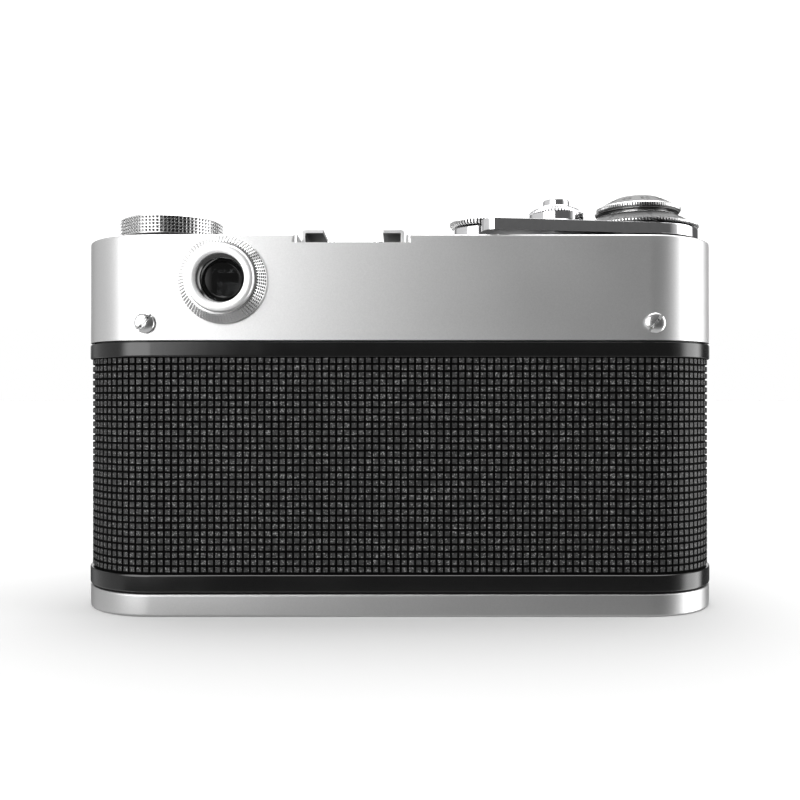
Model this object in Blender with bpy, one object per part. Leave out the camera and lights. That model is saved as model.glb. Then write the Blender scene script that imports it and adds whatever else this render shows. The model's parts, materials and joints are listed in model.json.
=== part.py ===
"""A 35 mm rangefinder camera: bottom loading, lever wind, 39 mm screw mount with a compact 50 mm lens.

+X runs to the photographer's right hand, +Y along the lens axis towards the subject, +Z up. The origin is
on the base plane, under the middle of the body. Lengths below are in millimetres until point() turns them
into metres.
"""

import bmesh
import bpy
from math import cos, pi, radians, sin

MM = 0.001
GAP = 0.3                 # clearance between neighbouring pieces

# Body plan: a stadium, two half circles joined by straight runs
END_X = 51.5              # centres of the two round ends
COVER_R = 17.5            # top and bottom cover
RIM_R = 17.6              # rims of the die casting
LEATHER_R = 17.1
RECESS_R = 16.4           # casting under the leatherette
CAVITY_R = 15.0
END_STEPS = 12

# Heights
BASE_TOP = 4.75
SHELL_BOTTOM = BASE_TOP + GAP
SHELL_TOP = 57.0
COVER_BOTTOM = SHELL_TOP + GAP
COVER_TOP = 79.2
CHANNEL_TOP = 77.5        # dropped middle section of the top cover
LEATHER_Z = (8.8, 53.7)
DECK_Z = (54.0, 56.7)
CRATE_BOTTOM = 8.6
COVER_WALL = 1.0

# Places along the camera
CASSETTE_X = -51.6        # cassette chamber, rewind shaft and knob
FINDER_X = -36.6
ROLLER_X = -32.5
ROLLER_Y = -3.9
LENS_X = -9.9
SHOE_X = -10.0
DRUM_X = 18.2             # shutter drum under the speed dial
RANGE_X = 22.0            # rangefinder window
SPROCKET_X = 35.3         # sprocket under the release
SYNC_X = 41.0
WIND_X = 53.7             # take-up spool under the wind lever
TRIPOD_X = 46.0
SCREW_X = 52.7
SCREW_Z = 60.8
FINDER_Z = 69.7
LENS_Z = 31.25
CHANNEL_X = (-21.3, 1.3)

# Film and lens
FRAME_SIZE = (36.0, 24.0)
FILM_Y = -9.8
REGISTER_Y = 19.0         # 28.8 in front of the film
THREAD_R = 19.5
PERFORATION_Z = 14.08     # from the film's middle line
TOOTH_MODULE = (WIND_X - SPROCKET_X) / 25.5  # 36 teeth meshing with 15
DRUM_GEAR_R = (SPROCKET_X - DRUM_X) / 2

FINISHES = {
    "satin": ((0.72, 0.72, 0.72), 0.32, 1.0),
    "chrome": ((0.85, 0.85, 0.86), 0.12, 1.0),
    "steel": ((0.55, 0.55, 0.56), 0.35, 1.0),
    "brass": ((0.72, 0.55, 0.28), 0.35, 1.0),
    "black_paint": ((0.02, 0.02, 0.02), 0.35, 0.0),
    "black_metal": ((0.05, 0.05, 0.05), 0.5, 0.6),
    "leather": ((0.03, 0.03, 0.03), 0.75, 0.0),
    "glass": ((0.75, 0.8, 0.82), 0.03, 0.0),
    "mirror": ((0.9, 0.9, 0.9), 0.03, 1.0),
    "cloth": ((0.02, 0.02, 0.02), 0.9, 0.0),
}


def clear_scene():
    for obj in list(bpy.data.objects):
        bpy.data.objects.remove(obj, do_unlink=True)


def point(x, y, z):
    return (x * MM, y * MM, z * MM)


def finish_of(name, kind):
    colour, roughness, metallic = FINISHES[kind]
    material = bpy.data.materials.new(name)
    material.use_nodes = True
    shader = material.node_tree.nodes["Principled BSDF"]
    shader.inputs["Base Color"].default_value = (*colour, 1.0)
    shader.inputs["Roughness"].default_value = roughness
    shader.inputs["Metallic"].default_value = metallic
    return material


def new_object(name, bm, kind, at=(0, 0, 0), turn=(0, 0, 0)):
    """The finished object; kind None makes a cutter."""
    bmesh.ops.recalc_face_normals(bm, faces=bm.faces)
    mesh = bpy.data.meshes.new(name)
    bm.to_mesh(mesh)
    bm.free()
    mesh.shade_smooth()
    mesh.set_sharp_from_angle(angle=radians(30))
    obj = bpy.data.objects.new(name, mesh)
    obj.location = point(*at)
    obj.rotation_euler = [radians(a) for a in turn]
    bpy.context.scene.collection.objects.link(obj)
    if kind is None:
        obj.hide_render = True
        obj.display_type = "WIRE"
    else:
        mesh.materials.append(finish_of(name, kind))
    return obj


def combine(obj, operation, *others):
    for other in others:
        boolean = obj.modifiers.new(other.name, "BOOLEAN")
        boolean.operation = operation
        boolean.object = other
    return obj


def cut(obj, *others):
    return combine(obj, "DIFFERENCE", *others)


def join(obj, *others):
    return combine(obj, "UNION", *others)


# Outlines: lists of (u, v) points, counter-clockwise

def circle(radius, steps, centre=(0, 0)):
    turns = [2 * pi * i / steps for i in range(steps)]
    return [(centre[0] + radius * cos(a), centre[1] + radius * sin(a)) for a in turns]


def stadium(radius):
    right = [-pi / 2 + pi * i / END_STEPS for i in range(END_STEPS + 1)]
    left = [a + pi for a in right]
    return [(END_X + radius * cos(a), radius * sin(a)) for a in right] + [
        (-END_X + radius * cos(a), radius * sin(a)) for a in left
    ]


def rectangle(low, high):
    return [(low[0], low[1]), (high[0], low[1]), (high[0], high[1]), (low[0], high[1])]


def arc(centre, radius, start, end, steps):
    angles = [radians(start + (end - start) * i / steps) for i in range(steps + 1)]
    return [(centre[0] + radius * cos(a), centre[1] + radius * sin(a)) for a in angles]


def wall_arc(centre, inner, outer, start, end, steps=20):
    return arc(centre, outer, start, end, steps) + arc(centre, inner, start, end, steps)[::-1]


def toothed(root, tip, teeth, width, phase=0.0):
    """Gear outline: width is the part of the pitch that a tooth takes at its root; tips are narrower."""
    outline = []
    for i in range(teeth):
        middle = phase + 2 * pi * i / teeth
        half_root = pi * width / teeth
        half_tip = half_root * 0.5
        for radius, angle in (
            (root, middle - half_root),
            (tip, middle - half_tip),
            (tip, middle + half_tip),
            (root, middle + half_root),
        ):
            outline.append((radius * cos(angle), radius * sin(angle)))
    return outline


# Solids

def sweep(sections, closed):
    """Rings of equal length joined in order. A closed sweep is a tube, an open one has a cap at each end."""
    bm = bmesh.new()
    rings = []
    for outline, height in sections:
        rings.append([bm.verts.new(point(u, v, height)) for u, v in outline])
    pairs = list(zip(rings, rings[1:]))
    if closed:
        pairs.append((rings[-1], rings[0]))
    else:
        bm.faces.new(rings[0])
        bm.faces.new(rings[-1])
    count = len(rings[0])
    for low, high in pairs:
        for i in range(count):
            j = (i + 1) % count
            bm.faces.new((low[i], low[j], high[j], high[i]))
    return bm


def turned(name, kind, profile, at=(0, 0, 0), turn=(0, 0, 0), closed=False, steps=24):
    """A lathe part about its own Z axis, from (radius, height) points."""
    sections = [(circle(radius, steps), height) for radius, height in profile]
    return new_object(name, sweep(sections, closed), kind, at, turn)


def shell(name, kind, profile, closed=False):
    """A part with the body's stadium plan, from (end radius, height) points."""
    sections = [(stadium(radius), height) for radius, height in profile]
    return new_object(name, sweep(sections, closed), kind)


def prism(name, kind, outline, low, high, at=(0, 0, 0), turn=(0, 0, 0)):
    return new_object(name, sweep([(outline, low), (outline, high)], False), kind, at, turn)


def block(name, kind, low, high, at=(0, 0, 0), turn=(0, 0, 0)):
    return prism(name, kind, rectangle(low[:2], high[:2]), low[2], high[2], at, turn)


def bore(name, radius, low, high, at, turn=(0, 0, 0), steps=24):
    return turned(name, None, [(radius, low), (radius, high)], at, turn, steps=steps)


# Turns that lay a part's own Z axis along another direction
FORWARD = (-90, 0, 0)     # own Z along +Y
REARWARD = (90, 0, 0)     # own Z along -Y
UPWARD = (0, 0, 0)


# Body

def body_shell():
    chamfer = 0.2
    profile = [
        (CAVITY_R, SHELL_BOTTOM),
        (RIM_R - chamfer, SHELL_BOTTOM),
        (RIM_R, SHELL_BOTTOM + chamfer),
        (RIM_R, LEATHER_Z[0] - GAP),
        (RECESS_R, LEATHER_Z[0] - GAP),
        (RECESS_R, LEATHER_Z[1] + GAP),
        (RIM_R, LEATHER_Z[1] + GAP),
        (RIM_R, SHELL_TOP - chamfer),
        (RIM_R - chamfer, SHELL_TOP),
        (CAVITY_R, SHELL_TOP),
    ]
    throat = bore("cut_shell_throat", 20.6, 10, 30, (LENS_X, 0, LENS_Z), FORWARD)
    cut(shell("body_shell", "black_paint", profile, closed=True), throat)


def leatherette():
    inner = RECESS_R + GAP
    low, high = LEATHER_Z
    profile = [(inner, low), (LEATHER_R, low), (LEATHER_R, high), (inner, high)]
    throat = bore("cut_leather_throat", 20.6, 10, 30, (LENS_X, 0, LENS_Z), FORWARD)
    cut(shell("leatherette", "leather", profile, closed=True), throat)


def shaft_holes(name, low, high, holes):
    return [bore(f"cut_{name}_{i}", r, low, high, (x, 0, 0)) for i, (x, r) in enumerate(holes)]


def chassis():
    """Deck, both film chambers, the front bulkhead and the shutter crate, as one casting."""
    deck = prism("chassis", "black_metal", stadium(CAVITY_R - GAP), *DECK_Z)
    tall = (CRATE_BOTTOM, DECK_Z[0] + 0.5)
    cassette = wall_arc((CASSETTE_X, 0), 13.6, 14.4, -20, 280)
    spool = wall_arc((WIND_X, 0), 11.4, 12.2, -100, 150)
    front, back = 8.8, FILM_Y + 1.3
    left, right = -37.4, 26.8
    wall = 1.2
    walls = [
        prism("add_cassette_chamber", None, cassette, *tall),
        prism("add_spool_chamber", None, spool, *tall),
        block("add_bulkhead", None, (-41.5, front - 1, tall[0]), (46.5, front, tall[1])),
        block("add_left_rib", None, (left, back, tall[0]), (left + wall, front - 0.5, tall[1])),
        block("add_right_rib", None, (right - wall, back, tall[0]), (right, front - 0.5, tall[1])),
        block("add_crate_floor", None, (left, back, tall[0]), (right, front, tall[0] + 1)),
    ]
    join(deck, *walls)
    throat = bore("cut_throat", 16.0, 6.0, 12.0, (LENS_X, 0, LENS_Z), FORWARD)
    slot = block("cut_follower_slot", None, (-13.5, 7.2, LENS_Z), (-6.0, 16.0, 60.0))
    shafts = [(CASSETTE_X, 2.3), (DRUM_X, 1.8), (SPROCKET_X, 1.8), (WIND_X, 3.3)]
    holes = shaft_holes("deck", 50.0, 60.0, shafts)
    holes.append(bore("cut_roller_hole", 1.3, 50.0, 60.0, (ROLLER_X, ROLLER_Y, 0)))
    holes.append(bore("cut_fork_recess", 3.9, 50.0, 56.0, (CASSETTE_X, 0, 0)))
    cut(deck, throat, slot, *holes)


def film_path():
    gate = block("film_gate", "black_metal", (-39.5, FILM_Y, 9.0), (27.0, FILM_Y + 1.0, 53.7))
    half_w, half_h = FRAME_SIZE[0] / 2, FRAME_SIZE[1] / 2
    low = (LENS_X - half_w, FILM_Y - 2, LENS_Z - half_h)
    high = (LENS_X + half_w, FILM_Y + 3, LENS_Z + half_h)
    cut(gate, block("cut_frame", None, low, high))
    plate_y = FILM_Y - GAP
    plate = block("pressure_plate", "black_metal", (-33.0, plate_y - 1.2, 13.5), (13.2, plate_y, 49.0))
    groove = block("cut_plate_groove", None, (-26.0, plate_y - 2, 29.0), (6.2, plate_y - 0.8, 33.5))
    cut(plate, groove)
    block("shutter_curtain", "cloth", (ROLLER_X, -7.7, 14.0), (DRUM_X, -7.3, 48.5))


def bottom_cover():
    floor = 1.2
    lip_r = CAVITY_R - GAP
    lip_top = 7.0
    profile = [
        (lip_r - 1.2, floor),
        (lip_r - 1.2, lip_top),
        (lip_r, lip_top),
        (lip_r, BASE_TOP),
        (COVER_R - 0.2, BASE_TOP),
        (COVER_R, BASE_TOP - 0.2),
        (COVER_R, 0.5),
        (COVER_R - 0.5, 0.0),
    ]
    cover = shell("bottom_cover", "satin", profile)
    key_hole = bore("cut_key_hole", 9.0, -1.0, 3.0, (CASSETTE_X, 0, 0))
    tripod_hole = bore("cut_tripod_hole", 5.6, -1.0, 3.0, (TRIPOD_X, 0, 0))
    cut(cover, key_hole, tripod_hole)
    socket = [
        (3.17, 0.2),
        (5.3, 0.2),
        (5.3, floor + GAP),
        (7.0, floor + GAP),
        (7.0, 2.6),
        (5.3, 2.6),
        (5.3, 6.0),
        (3.17, 6.0),
    ]
    turned("tripod_socket", "steel", socket, (TRIPOD_X, 0, 0), closed=True)


def cover_latch():
    at = (CASSETTE_X, 0, 0)
    disc = turned("latch_disc", "satin", [(8.7, 0.3), (8.7, 1.5), (9.8, 1.5), (9.8, 2.4)], at)
    pocket = arc((0, 0), 7.2, 180, 360, 20) + [(7.2, 0.7), (-7.2, 0.7)]
    cut(disc, prism("cut_tab_pocket", None, pocket, 0.0, 1.4, at))
    join(disc, block("add_latch_bolt", None, (-10.5, -2.5, 2.2), (4.0, 2.5, 4.0), at))
    tab_outline = arc((0, 0), 6.6, 180, 360, 20)
    hinge_z = 0.7
    prism("latch_tab", "satin", tab_outline, -0.35, 0.35, (CASSETTE_X, 0, hinge_z))


# Top cover and what stands on it

def top_cover():
    inner = COVER_R - COVER_WALL
    bevel = 0.45
    profile = [(COVER_R, COVER_BOTTOM), (COVER_R, COVER_TOP - bevel), (COVER_R - bevel, COVER_TOP)]
    cover = shell("top_cover", "satin", profile)
    hollow = shell("cut_hollow", None, [(inner, 50.0), (inner, COVER_TOP - COVER_WALL)])
    left, right = CHANNEL_X
    floor = CHANNEL_TOP - COVER_WALL
    cut(hollow, block("cut_from_hollow", None, (left - 1, -30, floor), (right + 1, 30, 90)))
    cut(cover, hollow, block("cut_channel", None, (left, -30, CHANNEL_TOP), (right, 30, 90)))
    shafts = [(CASSETTE_X, 2.3), (DRUM_X, 1.8), (SPROCKET_X, 3.6), (WIND_X, 3.3)]
    holes = shaft_holes("top", 76.0, 82.0, shafts)
    eye = (FINDER_X, 0, FINDER_Z)
    holes.append(bore("cut_eyepiece_hole", 6.1, 12.0, 20.0, eye, REARWARD))
    holes.append(bore("cut_range_hole", 4.0, 12.0, 20.0, (RANGE_X, 0, FINDER_Z), FORWARD))
    holes.append(bore("cut_sync_hole", 2.0, 12.0, 20.0, (SYNC_X, 0, FINDER_Z - 3.7), FORWARD))
    window = ((FINDER_X - 6, 12, FINDER_Z - 4), (FINDER_X + 6, 20, FINDER_Z + 4))
    holes.append(block("cut_window_hole", None, *window))
    for i, (x, turn) in enumerate(((-1, REARWARD), (1, REARWARD), (-1, FORWARD), (1, FORWARD))):
        holes.append(bore(f"cut_screw_{i}", 1.3, 12.0, 20.0, (x * SCREW_X, 0, SCREW_Z), turn, 12))
    for i, at in enumerate(shoe_screw_places()):
        holes.append(bore(f"cut_shoe_screw_{i}", 0.9, 70.0, 82.0, at, steps=12))
    cut(cover, *holes)


def screw(name, at, turn, head_r, shaft_r, shaft_length, slot_turn):
    """A domed slotted screw; its own Z axis points out of the surface that it fastens."""
    profile = [
        (shaft_r, -shaft_length),
        (shaft_r, GAP),
        (head_r, GAP),
        (head_r, GAP + 0.15 * head_r),
        (0.8 * head_r, GAP + 0.32 * head_r),
        (0.4 * head_r, GAP + 0.4 * head_r),
    ]
    head = turned(name, "chrome", profile, at, turn, steps=12)
    half = 0.12 * head_r
    low = (-head_r * 1.2, -half, GAP + 0.12 * head_r)
    slot = block(f"cut_{name}", None, low, (head_r * 1.2, half, 3.0), at, (*turn[:2], slot_turn))
    cut(head, slot)


def cover_screws():
    # The ends have begun to curve where the screws sit
    y = COVER_R - 0.03
    for side, x in (("left", -SCREW_X), ("right", SCREW_X)):
        screw(f"rear_screw_{side}", (x, -y, SCREW_Z), REARWARD, 2.17, 1.0, 4.0, 50)
        screw(f"front_screw_{side}", (x, y, SCREW_Z), FORWARD, 2.17, 1.0, 4.0, 20)


def shoe_screw_places():
    return [(SHOE_X + side * 5.2, -8.0, 0) for side in (-1, 1)]


SHOE_FLOOR = CHANNEL_TOP + GAP
SHEET = 0.8


def accessory_shoe():
    half, flange = 10.95, 4.6
    low, high = SHOE_FLOOR, 81.3
    outline = [
        (-half, low),
        (half, low),
        (half, high),
        (half - flange, high),
        (half - flange, high - SHEET),
        (half - SHEET, high - SHEET),
        (half - SHEET, low + SHEET),
        (-half + SHEET, low + SHEET),
        (-half + SHEET, high - SHEET),
        (-half + flange, high - SHEET),
        (-half + flange, high),
        (-half, high),
    ]
    shoe = prism("accessory_shoe", "satin", outline, -8.5, 11.5, (SHOE_X, 0, 0), REARWARD)
    for i, at in enumerate(shoe_screw_places()):
        cut(shoe, bore(f"cut_shoe_{i}", 0.9, 70, 79, at, steps=12))
    top = SHOE_FLOOR + SHEET
    for i, (x, y, _) in enumerate(shoe_screw_places()):
        screw(f"shoe_screw_{i + 1}", (x, y, top), UPWARD, 1.25, 0.6, 2.6, 35 * i)
    strip = [(-10.0, 0.3), (8.0, 0.3), (8.0, 0.6), (0.0, 1.1), (-10.0, 0.6)]
    spring = [(-y, z) for y, z in strip]
    at = (SHOE_X - 3.4, 0, top)
    prism("shoe_spring", "steel", spring, 0.0, 6.8, at, (90, 0, 90))


def rewind():
    at = (CASSETTE_X, 0, 0)
    turned("rewind_sleeve", "chrome", [(2.3, 79.5), (6.5, 79.5), (6.5, 80.1), (2.3, 80.1)], at, closed=True)
    knob = [(8.5, 80.4), (10.8, 80.4), (11.3, 80.9), (11.3, 84.3), (10.9, 84.8), (8.2, 84.8), (7.9, 84.5)]
    cap = turned("rewind_knob", "satin", knob, at)
    cut(cap, bore("cut_knob", 2.3, 79.0, 83.2, at))
    profile = [(3.4, 49.6), (3.4, 50.6), (2.0, 50.6), (2.0, 82.9)]
    shaft = turned("rewind_shaft", "steel", profile, at, steps=16)
    join(shaft, block("add_fork_blade", None, (-0.5, -3.0, 46.8), (0.5, 3.0, 49.8), at))


def wind_group():
    at = (WIND_X, 0, 0)
    base = [(3.6, 79.5), (12.9, 79.5), (12.9, 79.85), (3.6, 79.85)]
    turned("wind_hub_base", "chrome", base, at, closed=True)
    low, high = 80.15, 82.6
    disc = turned("wind_lever", "chrome", [(13.2, low), (13.2, high - 0.3), (12.9, high)], at)
    arm = [(4.0, -11.5), (0.0, -13.2), (-14.0, -15.2), (-33.5, -17.9)]
    arm += arc((-33.6, -14.9), 3.0, 268, 90, 10)
    arm += [(-18.0, -9.6), (-8.0, -5.0)]
    join(disc, prism("add_arm", None, arm, low + 0.1, high - 0.05, at))
    cut(disc, bore("cut_lever", 3.3, 79.0, 84.0, at))
    shaft = [(3.0, 50.0), (3.0, 86.0)]
    turned("wind_shaft", "steel", shaft, at)
    counter = [(3.3, 82.9), (13.3, 82.9), (13.3, 83.7), (9.2, 85.8), (9.0, 86.0), (3.3, 86.0)]
    turned("counter_dial", "satin", counter, at, closed=True, steps=32)
    speed = [(7.5, 86.3), (7.5, 86.7), (9.5, 86.7), (9.5, 88.0), (6.0, 90.0), (4.0, 90.5), (1.0, 90.6)]
    turned("film_speed_dial", "satin", speed, at)
    spool = [(10.5, 10.0), (10.5, 11.2), (5.5, 11.2), (5.5, 46.5), (10.5, 46.5), (10.5, 47.7)]
    turned("takeup_spool", "black_metal", spool, at)


def gear_outline(pitch_r, teeth, phase):
    return toothed(pitch_r - 0.75, pitch_r + 0.35, teeth, 0.62, phase)


def gears():
    """36 teeth on the wind shaft drive 15 on the sprocket; its upper gear of 24 turns the drum at 1:1."""
    outline = gear_outline(36 * TOOTH_MODULE / 2, 36, pi / 36)
    wheel = prism("wind_gear", "brass", outline, 58.0, 60.0, (WIND_X, 0, 0))
    cut(wheel, bore("cut_wind_gear", 3.3, 57.0, 61.0, (WIND_X, 0, 0)))
    at = (SPROCKET_X, 0, 0)
    cluster = prism("sprocket_gear", "brass", gear_outline(15 * TOOTH_MODULE / 2, 15, 0.0), 58.0, 61.5, at)
    join(cluster, prism("add_upper_gear", None, gear_outline(DRUM_GEAR_R, 24, pi / 24), 61.0, 63.0, at))
    cut(cluster, bore("cut_sprocket_gear", 1.8, 57.0, 64.0, at))


def transport():
    at = (SPROCKET_X, 0, 0)
    shaft = turned("sprocket", "steel", [(1.5, 10.0), (1.5, 63.6)], at, steps=16)
    low, high = LENS_Z - PERFORATION_Z, LENS_Z + PERFORATION_Z
    drum = turned("add_sprocket_drum", None, [(5.3, low - 2), (5.3, high + 2)], at)
    wheels = []
    for i, z in enumerate((low, high)):
        outline = toothed(5.0, 6.6, 8, 0.4)
        wheels.append(prism(f"add_sprocket_{i}", None, outline, z - 0.6, z + 0.6, at))
    join(shaft, drum, *wheels)
    at = (DRUM_X, 0, 0)
    profile = [(1.5, 10.0), (1.5, 12.0), (7.0, 12.0), (7.0, 51.0), (1.5, 51.0), (1.5, 65.0)]
    drum = turned("shutter_drum", "black_metal", profile, at)
    join(drum, prism("add_drum_gear", None, gear_outline(DRUM_GEAR_R, 24, 0.0), 61.0, 63.0, at))
    roller = [(1.0, 10.0), (1.0, 12.5), (3.2, 12.5), (3.2, 50.5), (1.0, 50.5), (1.0, 56.4)]
    turned("spring_roller", "black_metal", roller, (ROLLER_X, ROLLER_Y, 0), steps=16)


def release():
    at = (SPROCKET_X, 0, 0)
    base = [(3.6, 79.5), (4.8, 79.5), (4.8, 84.3), (3.6, 84.3)]
    turned("release_base", "chrome", base, at, closed=True)
    collar = [(3.6, 84.6), (6.1, 84.6), (6.3, 84.8), (6.3, 86.6), (5.5, 87.5), (4.0, 88.4), (3.6, 88.4)]
    turned("rewind_collar", "satin", collar, at, closed=True)
    profile = [(3.0, 86.8), (3.0, 89.6), (2.6, 90.0), (1.2, 90.0), (0.9, 89.4)]
    button = turned("release_button", "chrome", profile, at)
    join(button, turned("add_plunger", None, [(1.2, 66.0), (1.2, 87.5)], at, steps=16))


def speed_dial():
    at = (DRUM_X, 0, 0)
    base = [(1.8, 79.5), (6.1, 79.5), (6.1, 83.3), (1.8, 83.3)]
    turned("speed_dial_base", "chrome", base, at, closed=True)
    dial = [(6.4, 83.6), (7.0, 84.0), (7.0, 84.7), (6.4, 85.1), (5.6, 85.3)]
    cap = turned("speed_dial", "satin", dial, at)
    join(cap, turned("add_dial_shaft", None, [(1.5, 66.0), (1.5, 84.0)], at, steps=16))


# Finder

def eyepiece():
    at = (FINDER_X, 0, FINDER_Z)
    barrel = [(4.6, 9.5), (5.8, 9.5), (5.8, 20.0), (4.6, 20.0)]
    turned("eyepiece_barrel", "black_metal", barrel, at, REARWARD, True)
    ring = [(6.1, 17.8), (8.9, 17.8), (9.12, 18.1), (9.12, 18.7), (7.5, 20.2), (6.1, 20.2)]
    turned("dioptre_ring", "satin", ring, at, REARWARD, True)
    rim = [(4.96, 20.5), (7.03, 20.5), (7.03, 20.9), (6.6, 21.2), (5.4, 21.2), (4.96, 20.9)]
    turned("eyepiece_rim", "satin", rim, at, REARWARD, True)
    turned("eyepiece_lens", "glass", [(4.3, 16.8), (4.3, 18.2), (2.5, 18.6)], at, REARWARD)


def finder():
    low, high = (-43.0, -9.0, 63.5), (-30.0, 14.0, 76.0)
    housing = block("finder_housing", "black_metal", low, high)
    inside = block("cut_housing", None, (-42.0, -20.0, 64.5), (-31.0, 20.0, 75.0))
    side = bore("cut_side_window", 3.5, 2.0, 12.0, (FINDER_X, 4.0, FINDER_Z), (0, 90, 0), 20)
    cut(housing, inside, side)
    half = 4.7
    centre = (-36.5, 4.0, 69.75)
    block("beam_splitter", "glass", (-half, -half, -half), (half, half, half), centre)
    front = [(FINDER_X - 5.7, 16.9, FINDER_Z - 3.7), (FINDER_X + 5.7, 17.9, FINDER_Z + 3.7)]
    block("finder_window", "glass", *front)
    low, high = (FINDER_X - 7.5, 17.8, FINDER_Z - 5.5), (FINDER_X + 7.5, 18.6, FINDER_Z + 5.5)
    frame = block("finder_window_frame", "satin", low, high)
    opening = ((FINDER_X - 6, 12, FINDER_Z - 4), (FINDER_X + 6, 20, FINDER_Z + 4))
    cut(frame, block("cut_window_frame", None, *opening))


def rangefinder():
    at = (RANGE_X, 0, FINDER_Z)
    bezel = [(4.0, 17.8), (5.5, 17.8), (5.5, 18.4), (5.1, 18.8), (4.0, 18.8)]
    turned("rangefinder_bezel", "satin", bezel, at, FORWARD, True)
    turned("rangefinder_window", "glass", [(3.7, 16.9), (3.7, 17.9)], at, FORWARD)
    pivot = (RANGE_X, 12.5, 0)
    reach = (LENS_X - RANGE_X, 10.4 - 12.5)
    outline = arc((0, 0), 2.2, -90, 90, 10) + arc(reach, 2.2, 90, 270, 10)
    arm = prism("rangefinder_arm", "steel", outline, 58.5, 60.3, pivot)
    post = prism("add_follower", None, circle(1.2, 16, reach), 47.5, 59.0, pivot)
    join(arm, post)
    block("rangefinder_mirror", "mirror", (-3.3, -0.5, 60.6), (3.3, 0.5, 74.0), pivot, (0, 0, 45))


def sync_socket():
    at = (SYNC_X, 0, FINDER_Z - 3.7)
    collar = [(1.7, 14.0), (1.7, 17.8), (3.2, 17.8), (3.2, 18.6)]
    socket = [(2.3, 18.6), (2.3, 19.8), (1.2, 19.8), (1.2, 16.5)]
    turned("sync_socket", "chrome", collar + socket, at, FORWARD)


# Lens: heights along the lens axis are camera Y values

def lens():
    at = (LENS_X, 0, LENS_Z)

    def part(name, kind, profile, closed=True, steps=24):
        return turned(name, kind, profile, at, FORWARD, closed, steps)

    flange = [(20.3, 14.6), (20.3, 17.4), (22.0, 17.4), (22.0, 18.7), (21.7, REGISTER_Y)]
    part("lens_mount_ring", "chrome", [(THREAD_R, 14.6)] + flange + [(THREAD_R, REGISTER_Y)])
    thread = [(17.8, 14.8), (19.2, 14.8), (19.2, 19.3)]
    barrel = [(22.0, 19.3), (22.0, 23.0), (19.0, 23.0), (19.0, 31.0), (17.8, 31.0)]
    part("lens_barrel", "satin", thread + barrel)
    grip = [(19.3, 23.3), (23.2, 23.3), (23.5, 23.6), (23.5, 28.0), (22.5, 31.2), (19.3, 31.2)]
    ring = part("focus_ring", "satin", grip, steps=32)
    lever = block("add_focus_tab", None, (-4.0, 22.0, 24.2), (4.0, 27.5, 27.4), at, FORWARD)
    cut(lever, bore("cut_thumb_rest", 7.0, 20.0, 30.0, (LENS_X, 0, LENS_Z - 33.2), FORWARD))
    join(ring, lever)
    part("helicoid_tube", "brass", [(13.0, 11.9), (17.5, 11.9), (17.5, 36.6), (13.0, 36.6)])
    stops = [(17.8, 32.2), (20.8, 32.2), (21.0, 32.4), (21.0, 35.8), (20.4, 36.4), (17.8, 36.4)]
    part("aperture_ring", "satin", stops)
    rim = [(12.4, 36.9), (20.0, 36.9), (20.0, 40.6), (19.6, 41.0), (18.6, 41.0)]
    part("front_bezel", "satin", rim + [(14.0, 38.2), (12.4, 38.2)])
    front = [(12.7, 33.0), (12.7, 36.0), (12.0, 36.6), (8.0, 37.6), (3.0, 38.1)]
    part("front_element", "glass", front, closed=False)
    rear = [(5.0, 14.6), (10.5, 15.4), (12.7, 16.2), (12.7, 19.0)]
    part("rear_element", "glass", rear, closed=False)
    part("iris_diaphragm", "black_metal", [(6.5, 25.0), (12.7, 25.0), (12.7, 25.5), (6.5, 25.5)])


def main():
    clear_scene()
    body_shell()
    leatherette()
    chassis()
    film_path()
    bottom_cover()
    cover_latch()
    top_cover()
    cover_screws()
    accessory_shoe()
    rewind()
    wind_group()
    gears()
    transport()
    release()
    speed_dial()
    eyepiece()
    finder()
    rangefinder()
    sync_socket()
    lens()


main()
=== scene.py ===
"""The looks of the rangefinder camera: detailed pieces and materials around the fixed CAD frame."""

import json
from math import atan2, cos, degrees, pi, radians, sin

import bmesh
import bpy
from mathutils import Matrix, Vector

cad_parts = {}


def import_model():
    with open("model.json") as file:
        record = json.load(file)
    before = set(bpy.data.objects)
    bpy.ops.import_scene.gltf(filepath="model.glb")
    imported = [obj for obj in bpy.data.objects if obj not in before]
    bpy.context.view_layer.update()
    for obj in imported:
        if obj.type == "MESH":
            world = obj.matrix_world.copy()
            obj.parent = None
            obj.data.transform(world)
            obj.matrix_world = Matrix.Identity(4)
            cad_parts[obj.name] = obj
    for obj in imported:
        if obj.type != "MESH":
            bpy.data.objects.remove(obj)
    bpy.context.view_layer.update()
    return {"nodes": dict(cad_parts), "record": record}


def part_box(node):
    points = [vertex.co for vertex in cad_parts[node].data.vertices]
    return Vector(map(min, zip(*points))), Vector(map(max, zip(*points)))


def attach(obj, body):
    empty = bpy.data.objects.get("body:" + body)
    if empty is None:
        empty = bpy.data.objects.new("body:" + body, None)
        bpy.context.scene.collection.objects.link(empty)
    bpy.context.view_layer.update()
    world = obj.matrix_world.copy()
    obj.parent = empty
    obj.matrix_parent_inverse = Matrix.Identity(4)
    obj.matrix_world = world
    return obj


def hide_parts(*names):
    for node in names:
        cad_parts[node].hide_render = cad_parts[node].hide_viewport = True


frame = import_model()

MM = 0.001
END_STEPS = 40            # facets of each round end of the body
PAINT = 0.05              # thickness of the painted figures on the top
LENS_PAINT = 0.06         # and on the lens
LIFT = 0.01               # how far the paint stands off its face


# Places, read from the frame in millimetres

def box(node):
    low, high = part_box(node)
    return [v / MM for v in low], [v / MM for v in high]


def middle(node):
    low, high = box(node)
    return [(a + b) / 2 for a, b in zip(low, high)]


def joint_at(name):
    for joint in frame["record"]["behaviour"]["joints"]:
        if joint["name"] == name:
            return [v / MM for v in joint["pos_m"]]


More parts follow.
